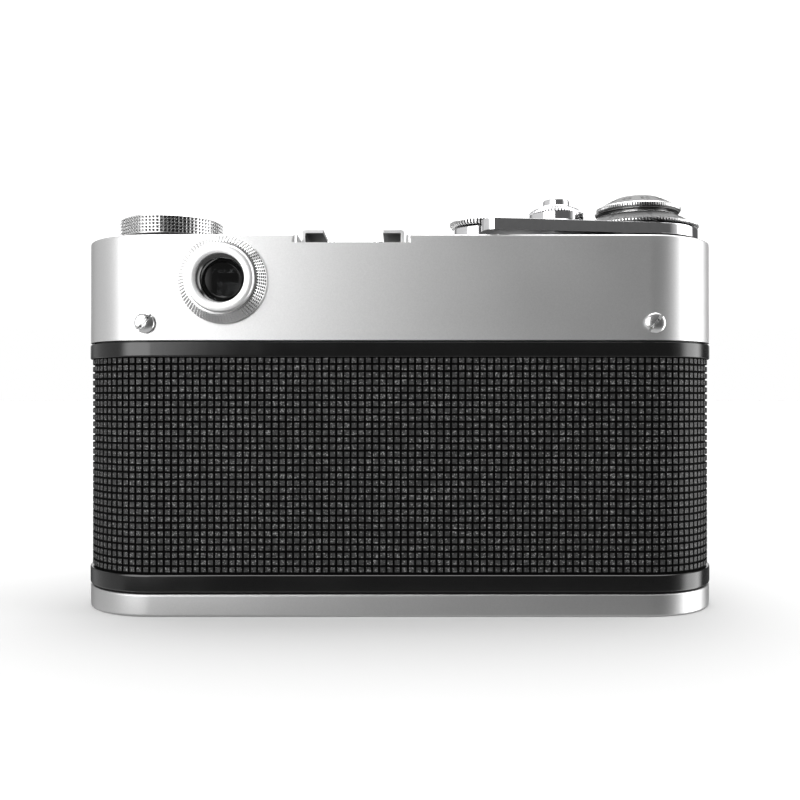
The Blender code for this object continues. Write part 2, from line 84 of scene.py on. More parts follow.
COVER_LOW, COVER_HIGH = box("top_cover")
COVER_R = COVER_HIGH[1]
END_X = COVER_HIGH[0] - COVER_R
LEATHER_LOW, LEATHER_HIGH = box("leatherette")
LEATHER_R = LEATHER_HIGH[1]
LENS_X, _, LENS_Z = middle("lens_mount_ring")
FINDER_X, _, FINDER_Z = middle("finder_window")
RANGE_X = middle("rangefinder_window")[0]
SYNC_X, _, SYNC_Z = middle("sync_socket")
KNOB_X = middle("rewind_knob")[0]
WIND_X = middle("counter_dial")[0]
RELEASE_X = middle("release_base")[0]
SPEED_X = middle("speed_dial")[0]
SHOE_LOW, SHOE_HIGH = box("accessory_shoe")


# Materials

def rgb(tone):
    """A grey from one number; a colour stays as it is."""
    return tone if isinstance(tone, tuple) else (tone, tone, tone)


def new_material(name, colour, roughness, metallic=0.0, **sockets):
    """A Principled material; the numbers that stay the same all over are set on the shader itself."""
    material = bpy.data.materials.new(name)
    material.use_nodes = True
    tree = material.node_tree
    shader = tree.nodes["Principled BSDF"]
    shader.inputs["Base Color"].default_value = (*rgb(colour), 1.0)
    shader.inputs["Roughness"].default_value = roughness
    shader.inputs["Metallic"].default_value = metallic
    for key, value in sockets.items():
        shader.inputs[key.replace("_", " ")].default_value = value
    place = tree.nodes.new("ShaderNodeTexCoord")
    return material, tree, shader, place.outputs["Object"]


def noise_field(tree, place, scale, detail=3.0, stretch=(1, 1, 1)):
    """Noise whose scale is in waves per metre, stretched along the object's own axes."""
    mapping = tree.nodes.new("ShaderNodeMapping")
    mapping.inputs["Scale"].default_value = stretch
    tree.links.new(place, mapping.inputs["Vector"])
    noise = tree.nodes.new("ShaderNodeTexNoise")
    noise.inputs["Scale"].default_value = scale
    noise.inputs["Detail"].default_value = detail
    tree.links.new(mapping.outputs["Vector"], noise.inputs["Vector"])
    return noise.outputs["Fac"]


def stops(tree, value, items):
    """Maps a value to a tone or colour by its (position, tone) stops."""
    node = tree.nodes.new("ShaderNodeValToRGB")
    items = sorted(items)
    elements = node.color_ramp.elements
    for element, (position, tone) in zip(list(elements), (items[0], items[-1])):
        element.position = position
        element.color = (*rgb(tone), 1.0)
    for position, tone in items[1:-1]:
        elements.new(position).color = (*rgb(tone), 1.0)
    tree.links.new(value, node.inputs["Fac"])
    return node.outputs["Color"]


def ramp(tree, value, low, high, start=0.3, end=0.7):
    """Maps a noise value to a colour or number between low and high."""
    return stops(tree, value, ((start, low), (end, high)))


def bump(tree, shader, height, strength, distance):
    node = tree.nodes.new("ShaderNodeBump")
    node.inputs["Strength"].default_value = strength
    node.inputs["Distance"].default_value = distance
    tree.links.new(height, node.inputs["Height"])
    tree.links.new(node.outputs["Normal"], shader.inputs["Normal"])


def metal(name, colour, roughness, spread, grain, grain_depth, stretch=(1, 1, 1)):
    """Plated or machined metal: fine grain in the surface, slow changes of gloss and tone."""
    material, tree, shader, place = new_material(name, colour, roughness, 1.0)
    slow = noise_field(tree, place, 60.0)
    fine = noise_field(tree, place, grain, 2.0, stretch)
    tree.links.new(ramp(tree, slow, roughness - spread, roughness + spread), shader.inputs["Roughness"])
    darker = tuple(c * 0.94 for c in rgb(colour))
    tree.links.new(ramp(tree, fine, darker, colour), shader.inputs["Base Color"])
    bump(tree, shader, fine, grain_depth, 0.00002)
    return material


def coated(name, colour, lighter, roughness, grain, depth, distance=0.00004, **sockets):
    """Paint, plastic or cloth: a fine uneven surface with slightly lighter specks."""
    material, tree, shader, place = new_material(name, colour, roughness, 0.0, **sockets)
    fine = noise_field(tree, place, grain)
    tree.links.new(ramp(tree, fine, colour, lighter, 0.45, 0.75), shader.inputs["Base Color"])
    slow = noise_field(tree, place, 90.0)
    tree.links.new(ramp(tree, slow, roughness - 0.04, roughness + 0.05), shader.inputs["Roughness"])
    bump(tree, shader, fine, depth, distance)
    return material


def leather_material():
    """Tops of the moulded tiles: dark grey, broken up by pale specks."""
    material, tree, shader, place = new_material("leatherette", 0.02, 0.6)
    blotch = noise_field(tree, place, 1500.0, 4.0)
    speck = noise_field(tree, place, 3300.0, 2.0)
    tone = ramp(tree, blotch, 0.006, 0.022, 0.4, 0.6)
    light = ramp(tree, speck, 0.0, 0.2, 0.57, 0.68)
    add = tree.nodes.new("ShaderNodeMixRGB")
    add.blend_type = "ADD"
    add.inputs["Fac"].default_value = 1.0
    tree.links.new(tone, add.inputs["Color1"])
    tree.links.new(light, add.inputs["Color2"])
    tree.links.new(add.outputs["Color"], shader.inputs["Base Color"])
    tree.links.new(ramp(tree, speck, 0.5, 0.75), shader.inputs["Roughness"])
    bump(tree, shader, blotch, 0.6, 0.00008)
    return material


def glass_material(name, tint, body=(0.94, 0.96, 0.97)):
    """Coated optical glass: its own tone, with a tinted reflection from the coating."""
    material, tree, shader, place = new_material(
        name, body, 0.02, 0.0, Transmission_Weight=1.0, IOR=1.52, Coat_Weight=0.6, Coat_Roughness=0.02
    )
    shader.inputs["Coat Tint"].default_value = (*rgb(tint), 1.0)
    slow = noise_field(tree, place, 40.0)
    tree.links.new(ramp(tree, slow, tuple(v * 0.97 for v in rgb(body)), body), shader.inputs["Base Color"])
    return material


def make_materials():
    return {
        "satin": metal("satin_chrome", 0.70, 0.41, 0.012, 3800.0, 0.35),
        # Painted shade: a darker copy of the satin chrome for the bottom tray, near the floor
        "base_satin": metal("base_satin", 0.50, 0.41, 0.012, 3800.0, 0.35),
        "fine_satin": metal("fine_satin", 0.80, 0.22, 0.02, 5200.0, 0.10),
        "white_satin": metal("white_satin", 0.93, 0.45, 0.02, 5200.0, 0.10),
        "knurl": metal("knurl_satin", 0.62, 0.25, 0.02, 5200.0, 0.10),
        # Painted shade: a dark copy of the satin metal for the tops of the counter and film speed dials,
        # against the light from above
        "dial": metal("dial_painted_shade", 0.12, 0.55, 0.02, 5200.0, 0.15),
        # Painted shade: a near-black copy of the satin metal for knurl groove floors, the inside of the shoe
        # and the underside of the lever
        "groove": metal("groove_painted_shade", 0.045, 0.4, 0.02, 5200.0, 0.15),
        "chrome": metal("polished_chrome", (0.88, 0.88, 0.89), 0.09, 0.02, 900.0, 0.02),
        "steel": metal("turned_steel", (0.56, 0.56, 0.57), 0.30, 0.05, 2600.0, 0.2, (1, 1, 6)),
        "brass": metal("gear_brass", (0.72, 0.53, 0.26), 0.30, 0.05, 2600.0, 0.15),
        "mirror": metal("mirror", 0.95, 0.03, 0.005, 400.0, 0.01),
        "enamel": coated("black_enamel", 0.004, 0.006, 0.16, 3000.0, 0.05),
        "gloss": coated("gloss_black", 0.004, 0.006, 0.08, 3000.0, 0.02,
                        Specular_IOR_Level=1.0),
        "anodised": coated("black_anodised", 0.014, 0.03, 0.42, 4500.0, 0.2),
        "black_fill": coated("black_fill", 0.01, 0.03, 0.5, 5000.0, 0.2),
        "cloth": coated("shutter_cloth", (0.015, 0.015, 0.016), 0.03, 0.8, 2500.0, 0.7),
        "leather": leather_material(),
        # Painted shade: the grooves between the leatherette tiles are near black and barely glossy
        "leather_groove_shade": coated("leather_groove_shade", 0.001, 0.002, 0.8, 2500.0, 0.3,
                                 Specular_IOR_Level=0.08),
        "glass": glass_material("finder_glass", 0.95),
        # Painted shade: the eyepiece glass is tinted nearly black, for the dark inside of the finder behind
        # it
        "eye_glass_painted_dark": glass_material("eye_glass_painted_dark", 1.0, 0.02),
        "lens_glass": glass_material("lens_glass", (0.72, 0.62, 1.0)),
    }


MATERIALS = make_materials()


# Meshes

def even_normals(obj, sharp):
    """Smooth shading in which large flat faces stay flat up to their rounded edges."""
    obj.data.shade_smooth()
    obj.data.set_sharp_from_angle(angle=radians(sharp))
    step = obj.modifiers.new("normals", "WEIGHTED_NORMAL")
    step.keep_sharp = True
    apply_modifiers(obj)


def to_object(name, bm, materials, body, node=None, sharp=32):
    """The finished piece: shaded, given its material or materials, and tied to its body."""
    bmesh.ops.recalc_face_normals(bm, faces=bm.faces)
    mesh = bpy.data.meshes.new(name)
    bm.to_mesh(mesh)
    bm.free()
    obj = bpy.data.objects.new(name, mesh)
    bpy.context.scene.collection.objects.link(obj)
    if body:
        materials = [materials] if isinstance(materials, str) else materials
        for material in materials:
            mesh.materials.append(MATERIALS[material])
        even_normals(obj, sharp)
        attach(obj, body)
    if node:
        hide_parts(node)
    return obj


def grid_mesh(rings, closed):
    """Rings of equal length joined in order, in millimetres; capped unless the last ring meets the first."""
    bm = bmesh.new()
    rows = [[bm.verts.new((x * MM, y * MM, z * MM)) for x, y, z in ring] for ring in rings]
    pairs = list(zip(rows, rows[1:]))
    if closed:
        pairs.append((rows[-1], rows[0]))
    else:
        bm.faces.new(rows[0])
        bm.faces.new(rows[-1])
    count = len(rows[0])
    for low, high in pairs:
        for i in range(count):
            j = (i + 1) % count
            bm.faces.new((low[i], low[j], high[j], high[i]))
    return bm


def rounded(profile, radius, closed=False, steps=3):
    """The same (radius, height) outline with its corners rounded, as far as its short sides allow."""
    count = len(profile)
    result = []
    for i, (r, h) in enumerate(profile):
        here = Vector((r, h))
        before = Vector(profile[i - 1]) - here
        after = Vector(profile[(i + 1) % count]) - here
        reach = min(radius, before.length * 0.45, after.length * 0.45)
        end_point = not closed and i in (0, count - 1)
        if end_point or before.angle(after, pi) > radians(172):
            result.append((r, h))
            continue
        start, end = here + before.normalized() * reach, here + after.normalized() * reach
        for k in range(steps + 1):
            t = k / steps
            at = start * (1 - t) ** 2 + here * 2 * t * (1 - t) + end * t * t
            result.append((at.x, at.y))
    return result


# Directions of a turned piece's axis, as (x, y, z) from its own (x, y, along)
UP, FORWARD, REARWARD = "up", "forward", "rearward"


def placed(x, y, along, at, axis):
    if axis == UP:
        return (at[0] + x, at[1] + y, along)
    if axis == FORWARD:
        return (at[0] + x, along, at[2] - y)
    return (at[0] + x, -along, at[2] + y)


def span(node, axis=UP):
    """Half the width of a turned piece, and where it starts and ends along its axis."""
    low, high = box(node)
    ends = {UP: (low[2], high[2]), FORWARD: (low[1], high[1]), REARWARD: (-high[1], -low[1])}
    return (high[0] - low[0]) / 2, *ends[axis]


# Where the grooves between raised cells lie, as parts of a cell, and how high the surface stands there
CELL = ((0.0, 0.0), (0.2, 0.0), (0.38, 1.0), (0.82, 1.0))
FLUTES = ((0.0, 0.0), (0.42, 0.0), (0.52, 1.0), (0.9, 1.0))


def knurl_rows(start, end, cells, height):
    """Profile rows (radius, along, height of the raised cells), with grooves between the cells."""
    rows = []
    for i in range(cells):
        for part, level in CELL:
            t = (i + part) / cells
            rows.append((start[0] + (end[0] - start[0]) * t, start[1] + (end[1] - start[1]) * t,
                         level * height))
    rows.append((*end, 0.0))
    return rows


def turned(name, material, rows, at, axis, body, node=None, slot=None, columns=96, closed=False, cell=None,
           matte=None):
    """A lathe piece. Rows are (radius, along) or (radius, along, knurl height); a knurl has one cell to a
    column. The floors of its grooves are painted darker, as painted shade, and so is the dial face between
    the two given radii, as painted shade on the dial's top."""
    angles = []
    for i in range(columns):
        for part, level in cell or ((0.0, 0.0),):
            angles.append((2 * pi * (i + part) / columns, level))
    rings = []
    for row in rows:
        height = row[2] if len(row) > 2 else 0.0
        ring = []
        for angle, level in angles:
            r = row[0] + height * level
            ring.append(placed(r * cos(angle), r * sin(angle), row[1], at, axis))
        rings.append(ring)
    bm = grid_mesh(rings, closed)
    materials = [material]
    if cell:
        # Painted shade on the groove floors
        materials.append("groove")
        mark_grooves(bm, rows, angles, closed)
    # Painted shade on the dial's top faces between the two radii
    if matte:
        materials.append("dial")
        for face in bm.faces:
            place = face.calc_center_median() / MM
            reach = Vector((place.x - at[0], place.y - at[1])).length
            if matte[0] < reach < matte[1] and abs(face.normal.z) > 0.1:
                face.material_index = len(materials) - 1
    return to_object(name, bm, materials, body, node)


def ring(name, material, rows, at, axis, body, node=None, corner=0.0, **options):
    """A turned piece with a hole through it, its corners rounded if a radius is given."""
    if corner:
        rows = rounded(rows, corner, closed=True)
    return turned(name, material, rows, at, axis, body, node, closed=True, **options)


def sleeve(name, node, inner, outer, corner, at, body, axis=UP, material="chrome", **options):
    """A plain ring as long as its CAD node."""
    _, low, high = span(node, axis)
    rows = [(inner, low), (outer, low), (outer, high), (inner, high)]
    return ring(name, material, rows, at, axis, body, node, corner, **options)


def mark_grooves(bm, rows, angles, closed):
    """Gives the near-black second material to the lowest faces of a knurl, as painted shade in its grooves;
    the caps of an open mesh come first.
    """
    skip = 0 if closed else 2
    bm.faces.ensure_lookup_table()
    bm.normal_update()
    count = len(angles)
    raised = [len(row) > 2 for row in rows]
    lowest = min([row[2] for row in rows if len(row) > 2] + [0.0])
    for k in range(len(rows) - 1):
        if not (raised[k] and raised[k + 1]):
            continue
        for i in range(count):
            j = (i + 1) % count
            corners = [rows[a][2] * angles[b][1] for a in (k, k + 1) for b in (i, j)]
            if max(corners) <= lowest + 0.001:
                bm.faces[skip + k * count + i].material_index = 1


def darken(obj, test):
    """Gives a near-black material to the faces that pass the test: painted shade."""
    obj.data.materials.append(MATERIALS["groove"])
    for face in obj.data.polygons:
        if test(face):
            face.material_index = len(obj.data.materials) - 1


def stadium(radius):
    """The body's plan, counter-clockwise, as (x, y) points."""
    right = [-pi / 2 + pi * i / END_STEPS for i in range(END_STEPS + 1)]
    points = [(END_X + radius * cos(a), radius * sin(a)) for a in right]
    return points + [(-x, -y) for x, y in points]


def shell(name, material, profile, body, node=None, closed=False):
    """A piece with the body's plan, from (end radius, height) points."""
    rings = [[(x, y, height) for x, y in stadium(radius)] for radius, height in profile]
    return to_object(name, grid_mesh(rings, closed), material, body, node)


def prism(name, material, outline, low, high, body, node=None, axis=UP, at=(0, 0, 0)):
    rings = [[placed(u, v, along, at, axis) for u, v in outline] for along in (low, high)]
    return to_object(name, grid_mesh(rings, False), material, body, node)


def arc(centre, radius, start, end, steps):
    angles = [radians(start + (end - start) * i / steps) for i in range(steps + 1)]
    return [(centre[0] + radius * cos(a), centre[1] + radius * sin(a)) for a in angles]


def rectangle(x0, y0, x1, y1, radius=0.0, steps=5):
    if not radius:
        return [(x0, y0), (x1, y0), (x1, y1), (x0, y1)]
    corners = ((x1 - radius, y0 + radius, -90), (x1 - radius, y1 - radius, 0),
               (x0 + radius, y1 - radius, 90), (x0 + radius, y0 + radius, 180))
    return [p for x, y, a in corners for p in arc((x, y), radius, a, a + 90, steps)]


def cutter(maker, *args, **options):
    """A shape used only to cut or join, made by one of the functions above."""
    return maker("cutter", None, *args, body=None, **options)


def apply_modifiers(obj):
    graph = bpy.context.evaluated_depsgraph_get()
    mesh = bpy.data.meshes.new_from_object(obj.evaluated_get(graph))
    old = obj.data
    obj.modifiers.clear()
    obj.data = mesh
    bpy.data.meshes.remove(old)
    mesh.name = obj.name


def boolean(obj, operation, *others):
    for other in others:
        step = obj.modifiers.new("step", "BOOLEAN")
        step.operation = operation
        step.object = other
    apply_modifiers(obj)
    for other in others:
        bpy.data.objects.remove(other, do_unlink=True)


def cut(obj, *others):
    boolean(obj, "DIFFERENCE", *others)


def drill(radius, low, high, at, axis=UP, columns=48):
    """A round hole along an axis, ready to be cut."""
    return cutter(turned, [(radius, low), (radius, high)], at, axis, columns=columns)


def soften(obj, width, segments=3, angle=35):
    """Rounds the sharp edges, in millimetres."""
    step = obj.modifiers.new("edges", "BEVEL")
    step.width = width * MM
    step.segments = segments
    step.limit_method = "ANGLE"
    step.angle_limit = radians(angle)
    step.miter_outer = "MITER_ARC"
    step.use_clamp_overlap = True
    apply_modifiers(obj)
    even_normals(obj, 40)
    return obj


# Figures and ticks, filled with paint, on flat, conical or cylindrical faces

def figure_mesh(text, height, thickness):
    curve = bpy.data.curves.new("figure", "FONT")
    curve.body = text
    curve.size = height * MM * 1.4
    curve.align_x, curve.align_y = "CENTER", "CENTER"
    curve.extrude = thickness * MM / 2
    curve.resolution_u = 3
    obj = bpy.data.objects.new("figure", curve)
    bpy.context.scene.collection.objects.link(obj)
    bpy.context.view_layer.update()
    mesh = bpy.data.meshes.new_from_object(obj.evaluated_get(bpy.context.evaluated_depsgraph_get()))
    bpy.data.objects.remove(obj, do_unlink=True)
    bpy.data.curves.remove(curve)
    return mesh


def tick_mesh(width, length, thickness):
    mesh = bpy.data.meshes.new("tick")
    bm = bmesh.new()
    bmesh.ops.create_cube(bm, size=1.0, matrix=Matrix.Diagonal((width * MM, length * MM, thickness * MM, 1)))
    bm.to_mesh(mesh)
    bm.free()
    return mesh


def on_cone(angle, radius, along, slope, at, flip=False):
    """Where a mark on the top sits: angle round the axis, radius, height, and slope of its face."""
    a = radians(angle)
    out = Vector((cos(a), sin(a), 0))
    side = Vector((-sin(a), cos(a), 0))
    s = radians(slope)
    normal = out * sin(s) + Vector((0, 0, cos(s)))
    up = normal.cross(side) * (1 if flip else -1)
    right = up.cross(normal)
    turn = Matrix((right, up, normal)).transposed().to_4x4()
    centre = out * radius
    place = Vector((at[0] + centre.x, at[1] + centre.y, along)) * MM
    return Matrix.Translation(place) @ turn


def marks(name, items, body):
    """One painted piece from many marks, each (mesh, matrix)."""
    bm = bmesh.new()
    for mesh, matrix in items:
        mesh.transform(matrix)
        bm.from_mesh(mesh)
        bpy.data.meshes.remove(mesh)
    to_object(name, bm, "black_fill", body)


# Body

LENS_AT = (LENS_X, 0, LENS_Z)
LENS_AXIS = (LENS_AT, FORWARD)
THROAT_R = 20.6


def body_casting():
    low, high = box("body_shell")
    rim = high[1]
    inner = rim - 2.6
    recess = LEATHER_R - 0.7
    profile = [
        (inner, low[2]), (rim, low[2]), (rim, LEATHER_LOW[2] - 0.1), (recess, LEATHER_LOW[2] - 0.1),
        (recess, LEATHER_HIGH[2] + 0.1), (rim, LEATHER_HIGH[2] + 0.1), (rim, high[2]), (inner, high[2]),
    ]
    profile = rounded(profile, 0.4, closed=True)
    shape = shell("body_casting", "enamel", profile, "camera", "body_shell", closed=True)
    cut(shape, drill(THROAT_R, 10.0, 30.0, LENS_AT, FORWARD, 96))


def leather_grid():
    """Rows and columns of raised square tiles with sloping sides, all round the body in one skin."""
    pitch = 1.487
    cell = ((0.0, 0.0), (0.22, 0.0), (0.28, 1.0), (0.94, 1.0))
    groove_r = LEATHER_R - 0.4
    straight = 2 * END_X
    round_length = pi * groove_r
    length = 2 * (straight + round_length)
    columns = round(length / pitch)
    height = LEATHER_HIGH[2] - LEATHER_LOW[2]
    rows = round(height / pitch)

    def around(s):
        """Point and outward direction at the distance s from the middle of the rear."""
        s = (s + END_X) % length
        for centre, start in ((END_X, -90), (-END_X, 90)):
            if s < straight:
                x = s - END_X if centre > 0 else END_X - s
                return (x, 0.0), radians(start)
            s -= straight
            if s < round_length:
                return (centre, 0.0), radians(start) + s / groove_r
            s -= round_length
        return (-END_X, 0.0), radians(-90)

    def line(count):
        return [((i + part) / count, level) for i in range(count) for part, level in cell]

    across = [(around(t * length), level) for t, level in line(columns)]
    up = line(rows) + [(1.0, 0.0)]
    relief = LEATHER_R - groove_r
    rings = []
    for t, row_level in up:
        z = LEATHER_LOW[2] + height * t
        ring = []
        for ((x, y), a), level in across:
            r = groove_r + relief * min(level, row_level)
            ring.append((x + r * cos(a), y + r * sin(a), z))
        rings.append(ring)
    back = LEATHER_R - 0.6
    for z in (LEATHER_HIGH[2], LEATHER_LOW[2]):
        rings.append([(x + back * cos(a), y + back * sin(a), z) for ((x, y), a), _ in across])
    bm = grid_mesh(rings, closed=True)
    centre = Vector((LENS_X * MM, LENS_Z * MM))
    hidden = [
        face for face in bm.faces
        if face.calc_center_median().y > 0 and (face.calc_center_median().xz - centre).length < 21.6 * MM
    ]
    bm.faces.ensure_lookup_table()
    # Groove faces take the near-black material, as painted shade
    for k in range(len(up) - 1):
        for i in range(len(across)):
            raised = min(up[k][1], up[k + 1][1]) and min(across[i][1], across[(i + 1) % len(across)][1])
            bm.faces[k * len(across) + i].material_index = 0 if raised else 1
    bmesh.ops.delete(bm, geom=hidden, context="FACES")
    to_object("leatherette_skin", bm, ("leather", "leather_groove_shade"), "camera", "leatherette", sharp=28)


def bottom_tray():
    low, high = box("bottom_cover")
    r = high[1]
    wall_top = box("body_shell")[0][2] - 0.3
    inner = LEATHER_R - 3.6
    profile = [(inner, 1.2), (inner, high[2]), (inner + 1.2, high[2]), (inner + 1.2, wall_top), (r, wall_top),
               (r, low[2]), (r - 3.0, low[2])]
    tray = shell("bottom_tray", "base_satin", rounded(profile, 0.55), "bottom", "bottom_cover")
    holes = [drill(hole_r, -1.0, 3.0, (at_x, 0, 0), columns=64)
             for at_x, hole_r in ((joint_at("latch_turn")[0], 9.0), (middle("tripod_socket")[0], 5.6))]
    cut(tray, *holes)
    soften(tray, 0.12, 2)


def latch():
    at = (joint_at("latch_turn")[0], 0, 0)
    low, high = box("latch_disc")
    rows = rounded([(8.7, low[2]), (8.7, 1.5), (9.8, 1.5), (9.8, 2.4)], 0.2)
    disc = turned("latch_turntable", "satin", rows, at, UP, "latch", "latch_disc")
    pocket = arc((at[0], 0), 7.2, 180, 360, 40) + [(at[0] + 7.2, 0.7), (at[0] - 7.2, 0.7)]
    cut(disc, cutter(prism, pocket, -1.0, 1.4))
    soften(disc, 0.12, 2)
    outline = [(at[0] - 10.4, -2.4), (at[0] + 4.0, -2.4), (at[0] + 4.0, 2.4), (at[0] - 10.4, 2.4)]
    hook = prism("latch_hook", "steel", outline, 2.5, 3.9, "latch")
    soften(hook, 0.4)
    low, high = box("latch_tab")
    outline = arc((at[0], 0), 6.6, 180, 360, 40)
    tab = prism("latch_handle", "satin", outline, low[2], high[2], "tab", "latch_tab")
    cut(tab, drill(2.6, low[2] - 1, high[2] + 1, (at[0], -7.4, 0)))
    soften(tab, 0.15)


def tripod_socket():
    at = (middle("tripod_socket")[0], 0, 0)
    low, high = box("tripod_socket")
    rows = [(3.17, low[2] + 0.4), (3.6, low[2]), (5.3, low[2]), (5.3, 1.5), (7.0, 1.5), (7.0, 2.6),
            (5.3, 2.6), (5.3, high[2]), (3.4, high[2])]
    turns = 9
    thread = []
    for i in range(turns):
        z = high[2] - 0.3 - (high[2] - low[2] - 0.9) * i / turns
        thread += [(3.17, z), (3.5, z - 0.25)]
    ring("tripod_bush", "steel", rows + thread, at, UP, "bottom", "tripod_socket")


# Top cover

def screw_piece(name, node, slot_turn):
    """A domed slotted screw in the place of its CAD node."""
    at = middle(node)
    axis = UP if node.startswith("shoe") else REARWARD if at[1] < 0 else FORWARD
    r, start, end = span(node, axis)
    head = end - 0.4 * r
    dome = [(r, head), (r, head + 0.1 * r)]
    dome += [(r * cos(radians(a)), head + 0.1 * r + 0.3 * r * sin(radians(a))) for a in range(12, 85, 9)]
    rows = [(r * 0.46, start), (r * 0.46, head)] + dome
    piece = turned(name, "fine_satin", rows, at, axis, "camera", node, slot="polished_chrome", columns=48)
    half = 0.12 * r
    turn = radians(slot_turn)
    corners = [(-1.3 * r, -half), (1.3 * r, -half), (1.3 * r, half), (-1.3 * r, half)]
    outline = [(u * cos(turn) - v * sin(turn), u * sin(turn) + v * cos(turn)) for u, v in corners]
    cut(piece, cutter(prism, outline, head - 0.2 * r, end + 1.0, axis=axis, at=at))
    soften(piece, 0.05 * r, 2)


def screws():
    for side in ("left", "right"):
        screw_piece(f"rear_cover_screw_{side}", f"rear_screw_{side}", 50)
        screw_piece(f"front_cover_screw_{side}", f"front_screw_{side}", 20)
    screw_piece("shoe_fixing_screw_1", "shoe_screw_1", 15)
    screw_piece("shoe_fixing_screw_2", "shoe_screw_2", 60)


def channel_outline(low_x, high_x, corner):
    """The dropped middle section in plan; its walls turn outwards at the front and rear faces."""
    r = COVER_R
    rear = arc((low_x - corner, -r + corner), corner, -90, 0, 8)
    rear_right = arc((high_x + corner, -r + corner), corner, 180, 270, 8)
    front_right = arc((high_x + corner, r - corner), corner, 90, 180, 8)
    front_left = arc((low_x - corner, r - corner), corner, 0, 90, 8)
    far = 10.0
    return (
        [(low_x - corner, -r - far), (high_x + corner, -r - far)] + rear_right[::-1] + front_right[::-1]
        + [(high_x + corner, r + far), (low_x - corner, r + far)] + front_left[::-1] + rear[::-1]
    )


def top_plate():
    low, r, inner, top = COVER_LOW, COVER_R, COVER_R - 1.0, COVER_HIGH[2]
    outer = [(r, low[2]), (r, top), (r - 4.0, top)]
    cover = shell("top_plate", "satin", rounded(outer, 0.5), "camera", "top_cover")
    channel_low, channel_high = SHOE_LOW[0] - 0.35, SHOE_HIGH[0] + 0.35
    channel_top = SHOE_LOW[2] - 0.3
    hollow = cutter(shell, rounded([(inner, low[2] - 5), (inner, top - 1.0), (inner - 4, top - 1.0)], 0.4))
    step = rectangle(channel_low - 1.2, -30, channel_high + 1.2, 30)
    cut(hollow, cutter(prism, step, channel_top - 1.0, top + 10))
    channel = cutter(prism, channel_outline(channel_low, channel_high, 1.1), channel_top, top + 10)
    cut(cover, hollow, channel)
    holes = []
    for x, hole_r in ((KNOB_X, 2.3), (SPEED_X, 1.8), (RELEASE_X, 3.6), (WIND_X, 3.3)):
        holes.append(drill(hole_r, 70, 90, (x, 0, 0)))
    holes.append(drill(6.1, 12, 20, (FINDER_X, 0, FINDER_Z), REARWARD, columns=64))
    holes.append(drill(4.0, 12, 20, (RANGE_X, 0, FINDER_Z), FORWARD, columns=64))
    holes.append(drill(2.0, 12, 20, (SYNC_X, 0, SYNC_Z), FORWARD))
    (fx0, _, fz0), (fx1, _, fz1) = box("finder_window")
    window = rectangle(fx0 - 0.3, fz0 - 0.3, fx1 + 0.3, fz1 + 0.3)
    holes.append(cutter(prism, [(u, -v) for u, v in window], 12, 20, axis=FORWARD))
    for node in ("rear_screw_left", "rear_screw_right", "front_screw_left", "front_screw_right"):
        x, y, z = middle(node)
        axis = REARWARD if y < 0 else FORWARD
        holes.append(drill(1.3, 12, 20, (x, 0, z), axis, columns=32))
    cut(cover, *holes)
    soften(cover, 0.22)
    # A dark ring stands on the casting, just inside the cover, so the gap under the cover shows dark: painted
    # shade
    z = box("body_shell")[1][2] + 0.05
    trap = [(15.4, z), (16.3, z), (16.3, z + 0.75), (15.4, z + 0.75)]
    shell("cover_gap_shade_ring", "anodised", trap, "camera", closed=True)


def accessory_shoe():
    (x0, y0, z0), (x1, y1, z1) = SHOE_LOW, SHOE_HIGH
    sheet, flange, fold = 0.8, 4.6, 0.75
    top_left = arc((x0 + fold, z1 - fold), fold, 180, 90, 5)
    outline = (
        [(x0, z0), (x1, z0)] + [(x0 + x1 - x, z) for x, z in top_left]
        + [(x1 - flange, z1), (x1 - flange, z1 - sheet), (x1 - sheet, z1 - sheet), (x1 - sheet, z0 + sheet)]
        + [(x0 + sheet, z0 + sheet), (x0 + sheet, z1 - sheet), (x0 + flange, z1 - sheet), (x0 + flange, z1)]
        + top_left[::-1]
    )
    shoe = prism("accessory_shoe_sheet", "satin", outline, -y1, -y0, "camera", "accessory_shoe", REARWARD)
    # The screw holes go through the floor
    holes = []
    for node in ("shoe_screw_1", "shoe_screw_2"):
        x, y, _ = middle(node)
        holes.append(drill(0.9, 70, 79.5, (x, y, 0), columns=32))
    cut(shoe, *holes)
    soften(shoe, 0.12)
    # The inside of the channel, under the rails, is painted near black: painted shade
    half = (x1 - x0) / 2 - sheet + 0.05
    centre = (x0 + x1) / 2

    def inside(face):
        return abs(face.center.x / MM - centre) < half and (face.normal.z < -0.5 or abs(face.normal.x) > 0.5)

    darken(shoe, inside)


def shoe_spring():
    """A bowed leaf with two raised fingers that press a foot up against the rails."""
    (x0, y0, z0), (x1, y1, z1) = box("shoe_spring")
    thick = 0.3
    steps = 24
    top = []
    for i in range(steps + 1):
        t = i / steps
        rise = (z1 - z0 - thick) * sin(pi * min(1.0, max(0.0, (t - 0.08) / 0.84)))
        top.append((y0 + (y1 - y0) * t, z0 + thick + max(0.0, rise)))
    outline = top + [(y, z - thick) for y, z in top[::-1]]
    rings = [[(x, y, z) for y, z in outline] for x in (x0, x1)]
    leaf = to_object("shoe_leaf_spring", grid_mesh(rings, False), "steel", "camera", "shoe_spring")
    centre = (x0 + x1) / 2
    slot_cut = cutter(prism, rectangle(centre - 0.8, y0 + 3, centre + 0.8, y1 - 3, 0.7), z0 - 1, z1 + 1)
    cut(leaf, slot_cut)


# Controls on the top

def slope_of(outer, inner):
    """How steeply a dial face rises from its edge inwards, in degrees."""
    return degrees(atan2(inner[1] - outer[1], outer[0] - inner[0]))


